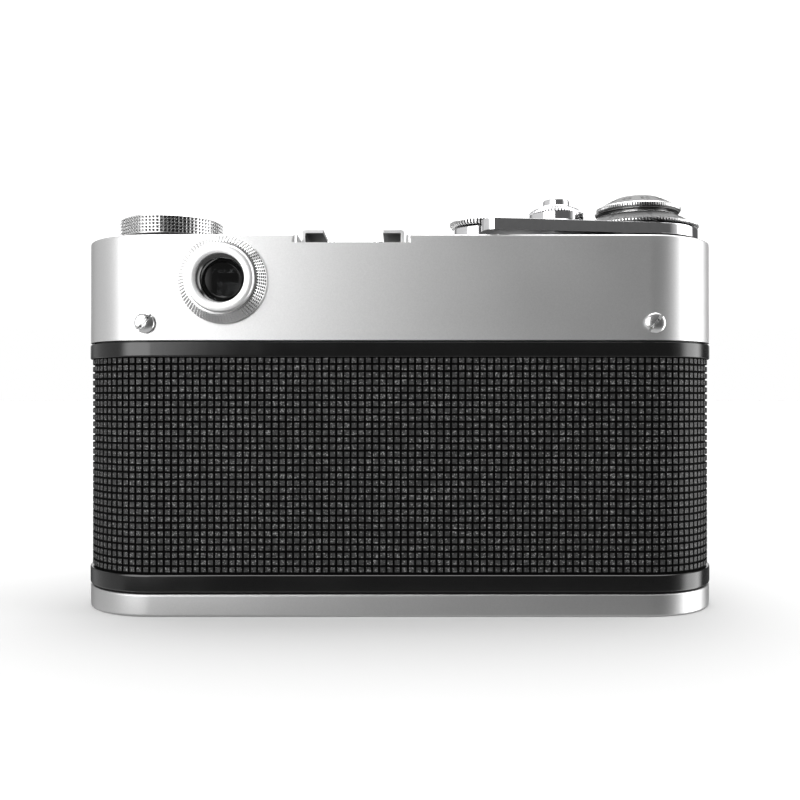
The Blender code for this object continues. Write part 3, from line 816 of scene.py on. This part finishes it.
def rewind_knob():
    at = (KNOB_X, 0, 0)
    r, z0, z1 = span("rewind_knob")
    body = [(2.3, z0 + 2.6), (2.3, z0), (r - 2.9, z0), (r - 0.7, z0 + 0.1), (r - 0.1, z0 + 0.4)]
    grip = knurl_rows((r - 0.02, z0 + 0.45), (r - 0.02, z1 - 0.35), 5, -0.3)
    cap = [(r - 0.08, z1 - 0.3), (r - 0.5, z1), (r - 3.2, z1), (r - 3.45, z1 - 0.3), (0.6, z1 - 0.3)]
    rows = body + grip + cap
    turned("rewind_grip", "knurl", rows, at, UP, "rewind_turn", "rewind_knob", columns=84, cell=CELL)
    sleeve("rewind_collar_ring", "rewind_sleeve", 2.3, 6.5, 0.15, at, "rewind_lift")
    # A curved arrow shows which way the knob turns
    items = [(tick_mesh(0.5, 0.42, PAINT), on_cone(60 + 6 * i, r - 5.2, z1 - 0.29, 0, at))
             for i in range(11)]
    marks("rewind_arrow", items, "rewind_turn")


def wind_lever():
    at = (WIND_X, 0, 0)
    low, high = box("wind_lever")
    z0, z1 = low[2], high[2]
    hub = sleeve("lever_plate", "wind_lever", 3.3, 13.2, 0.3, at, "wind", columns=128)
    tip_x, tip_y = low[0] - WIND_X, low[1]
    reach = 3.0
    arm = [(4.0, -11.9), (1.5, -13.1), (-6.0, -13.95), (-14.0, -15.15), (-24.0, -16.6)]
    arm += arc((tip_x + reach, tip_y + reach + 0.05), reach, 265, 95, 20)
    arm += [(-26.0, -10.8), (-20.0, -9.6), (-14.5, -7.6), (-10.5, -4.0), (-6.0, -6.0)]
    outline = [(at[0] + x, y) for x, y in arm]
    boolean(hub, "UNION", cutter(prism, outline, z0 + 0.06, z1 - 0.04))
    soften(hub, 0.35, 3, 50)
    # The underside of the lever is painted near black: painted shade
    darken(hub, lambda face: face.normal.z < -0.5)
    sleeve("lever_base_ring", "wind_hub_base", 3.6, 12.9, 0.15, at, "camera")


def frame_counter():
    at = (WIND_X, 0, 0)
    r = 13.3
    _, z0, z1 = span("counter_dial")
    rim = knurl_rows((r - 0.3, z0 + 0.12), (r - 0.3, z0 + 0.74), 1, 0.3)
    rows = [(3.3, z0), (r - 0.5, z0)] + rim + [(r - 0.45, z0 + 0.8), (r - 0.75, z0 + 0.95)]
    slope_start, slope_end = (r - 0.9, z0 + 1.0), (9.15, z1 - 0.25)
    rows += [slope_start, slope_end, (9.0, z1), (3.3, z1)]
    ring("counter_disc", "fine_satin", rows, at, UP, "counter", "counter_dial", columns=120, cell=FLUTES,
         matte=(9.1, r - 0.8))
    slope = slope_of(slope_start, slope_end)
    items = []

    def spot(t):
        return [a + (b - a) * t for a, b in zip(slope_start, slope_end)]

    for i in range(40):
        t = 0.16 if i % 5 else 0.22
        radius, z = spot(t)
        length = 0.8 if i % 5 else 1.3
        items.append((tick_mesh(0.24, length, PAINT), on_cone(-9 * i - 90, radius, z + LIFT, slope, at)))
        if i % 5 == 0:
            radius, z = spot(0.66)
            place = on_cone(-9 * i - 90, radius, z + LIFT, slope, at, True)
            items.append((figure_mesh(str(i), 1.7, PAINT), place))
    marks("counter_figures", items, "counter")


def film_speed_dial():
    at = (WIND_X, 0, 0)
    r = 9.5
    _, z0, z1 = span("film_speed_dial")
    rim = knurl_rows((r - 0.25, z0 + 0.55), (r - 0.25, z0 + 1.6), 1, 0.25)
    rows = [(0.6, z0), (7.4, z0), (7.5, z0 + 0.1), (7.5, z0 + 0.36), (r - 0.4, z0 + 0.42)] + rim
    slope_start, slope_end = (r - 0.75, z0 + 1.9), (5.2, z1 - 0.55)
    rows += [(r - 0.35, z0 + 1.7), slope_start, slope_end, (5.0, z1 - 0.42), (4.6, z1 - 0.28),
             (3.0, z1 - 0.1), (1.5, z1 - 0.02), (0.5, z1)]
    turned("film_speed_disc", "fine_satin", rows, at, UP, "film_speed", "film_speed_dial", columns=110,
           cell=FLUTES, matte=(0.0, r - 0.7))
    slope = slope_of(slope_start, slope_end)
    middle_r, middle_z = [(a + b) / 2 for a, b in zip(slope_start, slope_end)]
    items = []
    for i, text in enumerate(("10", "20", "32", "40", "50", "80", "100", "200", "400")):
        turn = -90 + (i - 4) * 34
        place = on_cone(turn, middle_r - 0.3, middle_z + 0.17, slope, at, True)
        items.append((figure_mesh(text, 1.5, PAINT), place))
        items.append((tick_mesh(0.2, 0.5, PAINT), on_cone(turn, r - 1.1, z0 + 2.1, slope, at)))
    marks("film_speed_figures", items, "film_speed")


def release():
    at = (RELEASE_X, 0, 0)
    r, z0, z1 = span("release_base")
    rows = [(3.6, z0), (r, z0), (r, z0 + 0.5), (r - 0.25, z0 + 0.8), (r - 0.25, z1 - 0.7), (r, z1 - 0.45),
            (r, z1), (3.6, z1)]
    ring("release_column", "chrome", rows, at, UP, "camera", "release_base", corner=0.15)
    r, z0, z1 = span("rewind_collar")
    wall = [(3.6, z0), (r - 0.25, z0), (r - 0.05, z0 + 0.2), (r - 0.05, z0 + 1.85)]
    ribs = [(r - 0.3, z0 + 1.95, 0.0), (r - 0.3, z0 + 2.1, 0.24), (5.55, z0 + 2.7, 0.26),
            (4.95, z0 + 3.1, 0.26)]
    top = [(4.3, z0 + 3.4, 0.24), (4.0, z0 + 3.5, 0.0), (3.8, z1 - 0.12), (3.7, z1), (3.6, z1 - 0.1)]
    ring("release_collar", "chrome", wall + ribs + top, at, UP, "collar", "rewind_collar",
         slot="satin_chrome", columns=56, cell=FLUTES)
    _, z0, z1 = span("release_button")
    rows = [(0.3, z0), (1.2, z0), (1.2, 86.6), (3.0, 86.7), (3.0, z1 - 0.45), (2.85, z1 - 0.15), (2.5, z1),
            (1.6, z1 - 0.04), (1.35, z1 - 0.25), (1.2, z1 - 0.6), (0.3, z1 - 1.4)]
    turned("release_cap", "chrome", rows, at, UP, "release", "release_button", columns=64)


def speed_dial():
    at = (SPEED_X, 0, 0)
    r, _, base_top = span("speed_dial_base")
    sleeve("speed_dial_pedestal", "speed_dial_base", 1.8, r, 0.2, at, "camera")
    r, low, z1 = span("speed_dial")
    z0 = base_top + 0.3
    grip = [(r - 0.55, z0 + 0.15, 0.1), (r - 0.5, z0 + 0.4, 0.5), (r - 0.5, z1 - 0.65, 0.5),
            (r - 0.62, z1 - 0.42, 0.3)]
    rows = [(0.6, low), (1.5, low), (1.5, z0), (r - 0.9, z0)] + grip
    rows += [(r - 0.95, z1 - 0.2), (r - 1.4, z1), (2.1, z1), (1.9, z1 - 0.15), (0.5, z1 - 0.15)]
    turned("speed_dial_disc", "fine_satin", rows, at, UP, "speed", "speed_dial", columns=60, cell=FLUTES)
    speeds = ("1000", "500", "250", "125", "60", "30", "15", "8", "4", "2", "1")
    items = [(figure_mesh(text, 0.95, PAINT), on_cone(90 - i * 360 / 11, r - 2.75, z1 + LIFT, 0, at, True))
             for i, text in enumerate(speeds)]
    marks("speed_figures", items, "speed")


# Finder

def eyepiece():
    at = (FINDER_X, 0, FINDER_Z)
    r, near, far = span("dioptre_ring", REARWARD)
    grip = knurl_rows((r - 0.02, near + 0.35), (7.5, far - 0.05), 5, -0.28)
    rows = [(6.1, near), (r - 0.3, near), (r - 0.08, near + 0.25)] + grip + [(7.2, far), (6.1, far)]
    ring("dioptre_grip", "knurl", rows, at, REARWARD, "dioptre", "dioptre_ring", columns=80, cell=CELL)
    r, near, far = span("eyepiece_rim", REARWARD)
    rows = [(5.95, near - 0.2), (7.03, near - 0.2), (r, near), (r - 0.06, near + 0.25),
            (r - 0.3, far - 0.13), (r - 0.7, far - 0.02), (r - 1.1, far), (r - 1.6, far - 0.03),
            (r - 1.95, far - 0.14), (4.96, far - 0.35), (4.96, near - 0.2)]
    ring("eyepiece_ring", "white_satin", rows, at, REARWARD, "dioptre", "eyepiece_rim", columns=128)
    far = span("eyepiece_barrel", REARWARD)[2]
    rows = [(4.45, 9.5), (5.8, 9.5), (5.8, far), (5.05, far + 0.2), (4.95, far + 0.15), (4.5, far - 0.3),
            (4.4, far - 0.4), (4.4, far - 1.2), (4.45, far - 1.3)]
    ring("eyepiece_tube", "gloss", rows, at, REARWARD, "camera", "eyepiece_barrel")
    _, near, far = span("eyepiece_lens", REARWARD)
    bulge = [(4.3 * t / 12, far - 0.02 * (t / 12) ** 2) for t in range(12, 0, -1)]
    rows = [(0.3, near + 0.35), (4.3, near + 0.3)] + bulge
    # Its nearly black tint is painted shade
    turned("eyepiece_glass", "eye_glass_painted_dark", rows, at, REARWARD, "eye_lens", "eyepiece_lens")
    rows = [(4.25, far + 0.06), (4.25, far + 0.75), (4.15, far + 0.8), (3.6, far + 0.2), (3.5, far + 0.06)]
    ring("eyepiece_cell", "gloss", rows, at, REARWARD, "eye_lens")
    # The field stop behind the glass, on the barrel
    rows = [(3.3, 14.9), (4.4, 14.9), (4.4, 15.4), (3.5, 15.4)]
    ring("field_stop", "anodised", rows, at, REARWARD, "camera")


def finder_front():
    (x0, y0, z0), (x1, y1, z1) = box("finder_window_frame")
    (gx0, gy0, gz0), (gx1, gy1, gz1) = box("finder_window")

    def flipped(*corners, **options):
        return [(u, -v) for u, v in rectangle(*corners, **options)]

    surround = prism("window_surround", "satin", flipped(x0, z0, x1, z1, radius=0.8), y0, y1, "camera",
                     "finder_window_frame", FORWARD)
    hole = flipped(gx0 - 0.2, gz0 - 0.2, gx1 + 0.2, gz1 + 0.2, radius=0.4)
    cut(surround, cutter(prism, hole, y0 - 2, y1 + 2, axis=FORWARD))
    soften(surround, 0.25)
    pane = prism("window_pane", "glass", flipped(gx0, gz0, gx1, gz1, radius=0.3), gy0, gy1, "camera",
                 "finder_window", FORWARD)
    soften(pane, 0.12)
    at = (RANGE_X, 0, FINDER_Z)
    r, near, far = span("rangefinder_bezel", FORWARD)
    rows = [(4.0, near), (r, near), (r, far - 0.35), (r - 0.5, far), (r - 1.0, far), (4.0, far - 0.3)]
    ring("range_bezel_ring", "satin", rows, at, FORWARD, "camera", "rangefinder_bezel", corner=0.12)
    _, near, far = span("rangefinder_window", FORWARD)
    bulge = [(3.65 * cos(radians(a)), far - 0.4 + 0.4 * sin(radians(a))) for a in range(0, 86, 8)]
    turned("range_pane", "glass", [(0.3, near), (3.65, near)] + bulge, at, FORWARD, "camera",
           "rangefinder_window")


def sync_socket():
    at = (SYNC_X, 0, SYNC_Z)
    _, near, far = span("sync_socket", FORWARD)
    rows = [(1.7, near), (1.7, 17.8), (3.2, 17.8), (3.2, 18.4), (3.0, 18.6), (2.35, 18.6), (2.3, far - 0.1),
            (2.15, far), (1.75, far), (1.65, far - 0.15), (1.65, far - 2.4), (0.8, far - 2.4),
            (0.8, far - 0.5), (0.55, far - 0.4), (0.3, far - 0.4)]
    turned("sync_terminal", "chrome", rows, at, FORWARD, "camera", "sync_socket", columns=64)


# Lens: rows give radius and camera Y

def lens_mount():
    _, near, front = span("lens_mount_ring", FORWARD)
    rows = [(19.5, near), (20.3, near), (20.3, 17.4), (22.0, 17.4), (22.0, front - 0.35), (21.7, front),
            (19.5, front)]
    ring("mount_flange", "chrome", rows, *LENS_AXIS, "camera", "lens_mount_ring", corner=0.12)


def depth_scale():
    """Pairs of stops either side of the index, read against the distance figures."""
    y = 21.3
    items = [(tick_mesh(0.35, 2.2, LENS_PAINT), on_cylinder(0, 22.0, y + 0.2))]
    for i, stop in enumerate(("4", "8", "11", "16")):
        for side in (-1, 1):
            angle = side * (9 + 8 * i)
            items.append((tick_mesh(0.2, 1.1, LENS_PAINT), on_cylinder(angle, 22.0, y + 0.75)))
            items.append((figure_mesh(stop, 1.3, LENS_PAINT), on_cylinder(angle, 22.0, y - 0.75)))
    marks("depth_figures", items, "camera")


def on_cylinder(angle, radius, along):
    """On the lens, at an angle from the top, with figures that read from above the camera."""
    a = radians(90 - angle)
    normal = Vector((cos(a), 0, sin(a)))
    up = Vector((0, 1, 0))
    right = up.cross(normal)
    turn = Matrix((right, up, normal)).transposed().to_4x4()
    place = Vector((LENS_X + (radius + LIFT) * normal.x, along, LENS_Z + (radius + LIFT) * normal.z)) * MM
    return Matrix.Translation(place) @ turn


def lens_barrel():
    r = 22.0
    _, back, front = span("lens_barrel", FORWARD)
    rows = [(17.8, back), (19.2, back), (19.2, 19.3), (r, 19.3), (r, 22.7), (r - 0.3, 23.0), (19.0, 23.0),
            (19.0, front), (17.8, front)]
    ring("barrel_tube", "satin", rows, *LENS_AXIS, "camera", "lens_barrel", corner=0.15)
    depth_scale()


def focus_ring():
    r, near, far = span("focus_ring", FORWARD)
    flutes = ((0.0, 0.0), (0.16, 0.0), (0.3, 1.0), (0.86, 1.0))
    grip = [(r - 0.6, near + 0.5, 0.0), (r - 0.6, near + 0.62, 0.3), (r - 0.5, near + 0.8, 0.48),
            (r - 0.5, near + 4.1, 0.48), (r - 0.6, near + 4.3, 0.3), (r - 0.6, near + 4.4, 0.0)]
    rows = [(19.3, near), (r - 0.9, near), (r - 0.6, near + 0.3)] + grip
    rows += [(r - 0.45, near + 4.6), (r - 0.5, near + 4.9), (r - 1.0, far - 0.2), (r - 1.2, far), (19.3, far)]
    ring("focus_grip", "satin", rows, *LENS_AXIS, "focus", "focus_ring", columns=120, cell=flutes)
    items = []
    slope = degrees(atan2(0.5, far - near - 5.1))
    for i, text in enumerate(("1", "1.2", "1.5", "2", "3", "5", "10")):
        angle = 120 - i * 17
        matrix = on_cylinder(angle - 60, r - 0.72, far - 1.45)
        items.append((figure_mesh(text, 1.5, 0.3), matrix @ Matrix.Rotation(radians(-slope), 4, "X")))
    marks("distance_figures", items, "focus")
    tab = prism("focus_lever", "satin", focus_tab_outline(), 24.2, 27.4, "focus", None, FORWARD, LENS_AT)
    soften(tab, 0.3, 3, 50)


def focus_tab_outline():
    """A finger tab under the ring, hollowed for a fingertip; v points down."""
    side = [(3.98, 22.55), (3.98, 26.6), (3.6, 27.3), (3.2, 27.3)]
    root = arc((0, 0), 22.9, 80, 100, 6)[::-1]
    return side + arc((0, 33.0), 6.6, -62, -118, 12) + [(-x, y) for x, y in side[::-1]] + root[1:-1]


def front_group():
    sleeve("helicoid_barrel", "helicoid_tube", 13.0, 17.5, 0.2, LENS_AT, "helicoid", FORWARD, "anodised")
    r, near, far = span("aperture_ring", FORWARD)
    flutes = ((0.0, 0.0), (0.2, 0.0), (0.36, 1.0), (0.84, 1.0))
    grip = [(r - 0.4, near + 0.3, 0.0), (r - 0.35, near + 0.4, 0.3), (r - 0.35, near + 1.3, 0.3),
            (r - 0.4, near + 1.4, 0.0)]
    rows = [(17.8, near), (r - 0.7, near), (r - 0.45, near + 0.2)] + grip
    rows += [(r - 0.3, near + 1.6), (r - 0.25, far - 0.5), (r - 0.6, far), (17.8, far)]
    ring("stop_ring", "satin", rows, *LENS_AXIS, "aperture", "aperture_ring", columns=90, cell=flutes)
    items = [(figure_mesh(stop, 1.35, LENS_PAINT), on_cylinder(-30 + i * 13, r - 0.27, near + 2.55))
             for i, stop in enumerate(("2.8", "4", "5.6", "8", "11", "16"))]
    marks("stop_figures", items, "aperture")
    r, near, far = span("front_bezel", FORWARD)
    rim = [(12.4, near), (r - 0.2, near), (r, near + 0.2), (r, far - 0.5), (r - 0.25, far), (r - 1.0, far),
           (r - 1.2, far - 0.2), (r - 1.3, far - 0.9), (r - 1.3, near + 0.3), (12.4, near + 0.3)]
    ring("front_rim", "satin", rim, *LENS_AXIS, "helicoid", "front_bezel", columns=128)
    steps = []
    for t in (0.8, 0.6, 0.4, 0.2, 0.0):
        radius = r - 1.4 - (r - 1.4 - 14.2) * t
        y = far - 0.5 - 2.0 * t
        steps += [(radius - 0.12, y - 0.4), (radius, y)]
    inner = [(r - 1.35, far - 0.9), (r - 1.35, near + 0.35), (12.45, near + 0.35), (12.4, near + 1.15),
             (13.6, near + 1.15), (14.0, near + 1.3)] + steps
    ring("name_ring", "anodised", inner, *LENS_AXIS, "helicoid", columns=128)


def lens_glasses():
    _, near, far = span("front_element", FORWARD)
    edge = far - 2.1
    rise = far - edge
    sphere = (12.3 ** 2 + rise ** 2) / (2 * rise)
    half = degrees(atan2(12.3, sphere - rise))
    dome = [(sphere * sin(radians(half * t / 16)), far - sphere + sphere * cos(radians(half * t / 16)))
            for t in range(16, 0, -1)]
    rows = [(0.3, near + 1.5), (8.0, near + 0.6), (12.3, near)] + dome
    turned("front_glass", "lens_glass", rows, *LENS_AXIS, "helicoid", "front_element")
    _, near, far = span("rear_element", FORWARD)
    rows = [(0.3, near), (4.0, near + 0.15), (8.0, near + 0.8), (10.8, near + 1.7), (12.6, near + 2.2),
            (12.6, far), (0.3, far)]
    turned("rear_glass", "lens_glass", rows, *LENS_AXIS, "helicoid", "rear_element")


def iris_blades():
    """Ten thin overlapping blades round a ten-sided opening, behind the front glasses."""
    count, opening, outer = 10, 6.8, 12.6
    nearest = box("iris_diaphragm")[0][1]
    side = 2 * pi / count
    bm = bmesh.new()
    thick = 0.035
    for i in range(count):
        start = i * side
        points = [(opening * cos(start + side * t) / cos(side * (t - 0.5)) * cos(side / 2),
                   opening * sin(start + side * t) / cos(side * (t - 0.5)) * cos(side / 2))
                  for t in (0.0, 0.5, 1.0)]
        rim = [(outer * cos(start + side * t), outer * sin(start + side * t)) for t in (1.25, 1.0, 0.5, 0.0)]
        y = nearest + 0.045 * (i % 2)
        front = [bm.verts.new(Vector(placed(u, v, y + thick, LENS_AT, FORWARD)) * MM)
                 for u, v in points + rim]
        back = [bm.verts.new(Vector(placed(u, v, y, LENS_AT, FORWARD)) * MM) for u, v in points + rim]
        bm.faces.new(front)
        bm.faces.new(back[::-1])
        for j in range(len(front)):
            k = (j + 1) % len(front)
            bm.faces.new((front[j], back[j], back[k], front[k]))
    to_object("iris_blades", bm, "anodised", "helicoid", "iris_diaphragm")


# Inner pieces keep their CAD shapes and take finished materials

INNER = {
    "anodised": ("chassis", "film_gate", "pressure_plate", "finder_housing", "takeup_spool", "shutter_drum",
                 "spring_roller"),
    "cloth": ("shutter_curtain",),
    "steel": ("rewind_shaft", "wind_shaft", "sprocket", "rangefinder_arm"),
    "brass": ("wind_gear", "sprocket_gear"),
    "glass": ("beam_splitter",),
    "mirror": ("rangefinder_mirror",),
}


def inner_pieces():
    for material, names in INNER.items():
        for name in names:
            node = frame["nodes"][name]
            mesh = node.data
            if not mesh.materials:
                mesh.materials.append(MATERIALS[material])
            for i in range(len(mesh.materials)):
                mesh.materials[i] = MATERIALS[material]


# Studio

def stage_material(name, tone):
    material, tree, shader, place = new_material(name, tone, 0.8)
    slow = noise_field(tree, place, 3.0)
    tree.links.new(ramp(tree, slow, tone * 0.99, tone), shader.inputs["Base Color"])
    shader.inputs["Specular IOR Level"].default_value = 0.0
    return material


CAMERA_Y = -0.1984        # the body's middle plane lies this far in front of the camera
CAMERA_Z = 0.0449
FOCAL_SHARE = 1.09375     # focal length over sensor width
SENSOR = 36.0
FLOOR_R = 40.0


def camera():
    data = bpy.data.cameras.new("camera")
    data.sensor_width = SENSOR
    data.lens = SENSOR * FOCAL_SHARE
    data.clip_start = 0.01
    data.clip_end = 50.0
    obj = bpy.data.objects.new("camera", data)
    obj.location = (0.0, CAMERA_Y, CAMERA_Z)
    obj.rotation_euler = (radians(90), 0, 0)
    bpy.context.scene.collection.objects.link(obj)
    bpy.context.scene.camera = obj


def floor():
    """A pale floor that runs on to the horizon, where it melts into the white behind it."""
    bm = bmesh.new()
    bmesh.ops.create_circle(bm, cap_ends=True, segments=64, radius=FLOOR_R)
    mesh = bpy.data.meshes.new("floor")
    bm.to_mesh(mesh)
    bm.free()
    mesh.materials.append(stage_material("floor_paper", 0.50))
    obj = bpy.data.objects.new("floor", mesh)
    obj.visible_glossy = False
    bpy.context.scene.collection.objects.link(obj)


# Softboxes: brightness, then its share by bearing (degrees right of straight behind the camera) and by height
TALL = ((-0.6, 0), (-0.4, 1), (0.6, 1), (0.7, 0))
PANELS = (
    (5.0, ((-62, 0), (-50, 1), (-17, 1), (-13, 0), (180, 0)), ((-0.12, 0), (-0.08, 1), (0.5, 1), (0.6, 0))),
    (4.8, ((48, 0), (64, 0.1), (77, 1), (100, 1), (112, 0), (180, 0)), TALL),
    (0.6, ((-140, 0), (-120, 0.9), (-62, 1), (-50, 0), (180, 0)), TALL),
    (1.2, ((140, 0), (155, 1), (-155, 1), (-140, 0)), ((0.0, 0), (0.1, 1), (0.6, 1), (0.7, 0))),
    (0.075, ((0, 1), (180, 1)), ((-1, 8), (-0.4, 7), (-0.25, 2), (-0.1, 1), (1, 3))),
)
# Brightness of the round softbox above, which leans a little towards the front of the camera
OVERHEAD = 4.5
OVERHEAD_AIM = (0.0, sin(radians(8)), cos(radians(8)))


def math_node(tree, operation, first, second):
    node = tree.nodes.new("ShaderNodeMath")
    node.operation = operation
    for socket, value in zip(node.inputs, (first, second)):
        if isinstance(value, (int, float)):
            socket.default_value = value
        else:
            tree.links.new(value, socket)
    return node.outputs["Value"]


def world():
    """Softboxes far away all round, and plain white straight to the camera."""
    scene_world = bpy.data.worlds.new("studio")
    bpy.context.scene.world = scene_world
    scene_world.use_nodes = True
    tree = scene_world.node_tree
    place = tree.nodes.new("ShaderNodeTexCoord").outputs["Generated"]
    bearing = tree.nodes.new("ShaderNodeTexGradient")
    bearing.gradient_type = "RADIAL"
    tree.links.new(place, bearing.inputs["Vector"])
    parts = tree.nodes.new("ShaderNodeSeparateXYZ")
    tree.links.new(place, parts.inputs["Vector"])
    height = math_node(tree, "MULTIPLY_ADD", parts.outputs["Z"], 0.5)
    height.node.inputs[2].default_value = 0.5
    total = 0.0
    for power, around, up in PANELS:
        turn = sorted(((0.25 + a / 360) % 1.0, share) for a, share in around)
        seam = turn[-1][1] + (turn[0][1] - turn[-1][1]) * (1 - turn[-1][0]) / (1 - turn[-1][0] + turn[0][0])
        turn = [(0.0, seam)] + turn + [(1.0, seam)]
        across = stops(tree, bearing.outputs["Fac"], turn)
        rise = stops(tree, height, [((z + 1) / 2, share) for z, share in up])
        share = math_node(tree, "MULTIPLY", across, rise)
        total = math_node(tree, "ADD", total, math_node(tree, "MULTIPLY", share, power))
    aim = tree.nodes.new("ShaderNodeVectorMath")
    aim.operation = "DOT_PRODUCT"
    aim.inputs[1].default_value = OVERHEAD_AIM
    tree.links.new(place, aim.inputs[0])
    disc = stops(tree, aim.outputs["Value"], ((cos(radians(40)), 0), (cos(radians(32)), 1)))
    total = math_node(tree, "ADD", total, math_node(tree, "MULTIPLY", disc, OVERHEAD))
    seen = tree.nodes.new("ShaderNodeLightPath").outputs["Is Camera Ray"]
    glow = math_node(tree, "MAXIMUM", seen, total)
    tree.links.new(glow, tree.nodes["Background"].inputs["Strength"])
    tree.nodes["Background"].inputs["Color"].default_value = (1, 1, 1, 1)


def studio():
    bpy.context.scene.view_settings.view_transform = "Standard"
    world()
    floor()
    camera()


PIECES = (
    body_casting, leather_grid, bottom_tray, latch, tripod_socket, top_plate, screws, accessory_shoe,
    shoe_spring, rewind_knob, wind_lever, frame_counter, film_speed_dial, release, speed_dial, eyepiece,
    finder_front, sync_socket, lens_mount, lens_barrel, focus_ring, front_group, lens_glasses,
    iris_blades, inner_pieces,
)


studio()
for make in PIECES:
    make()
bpy.context.view_layer.update()
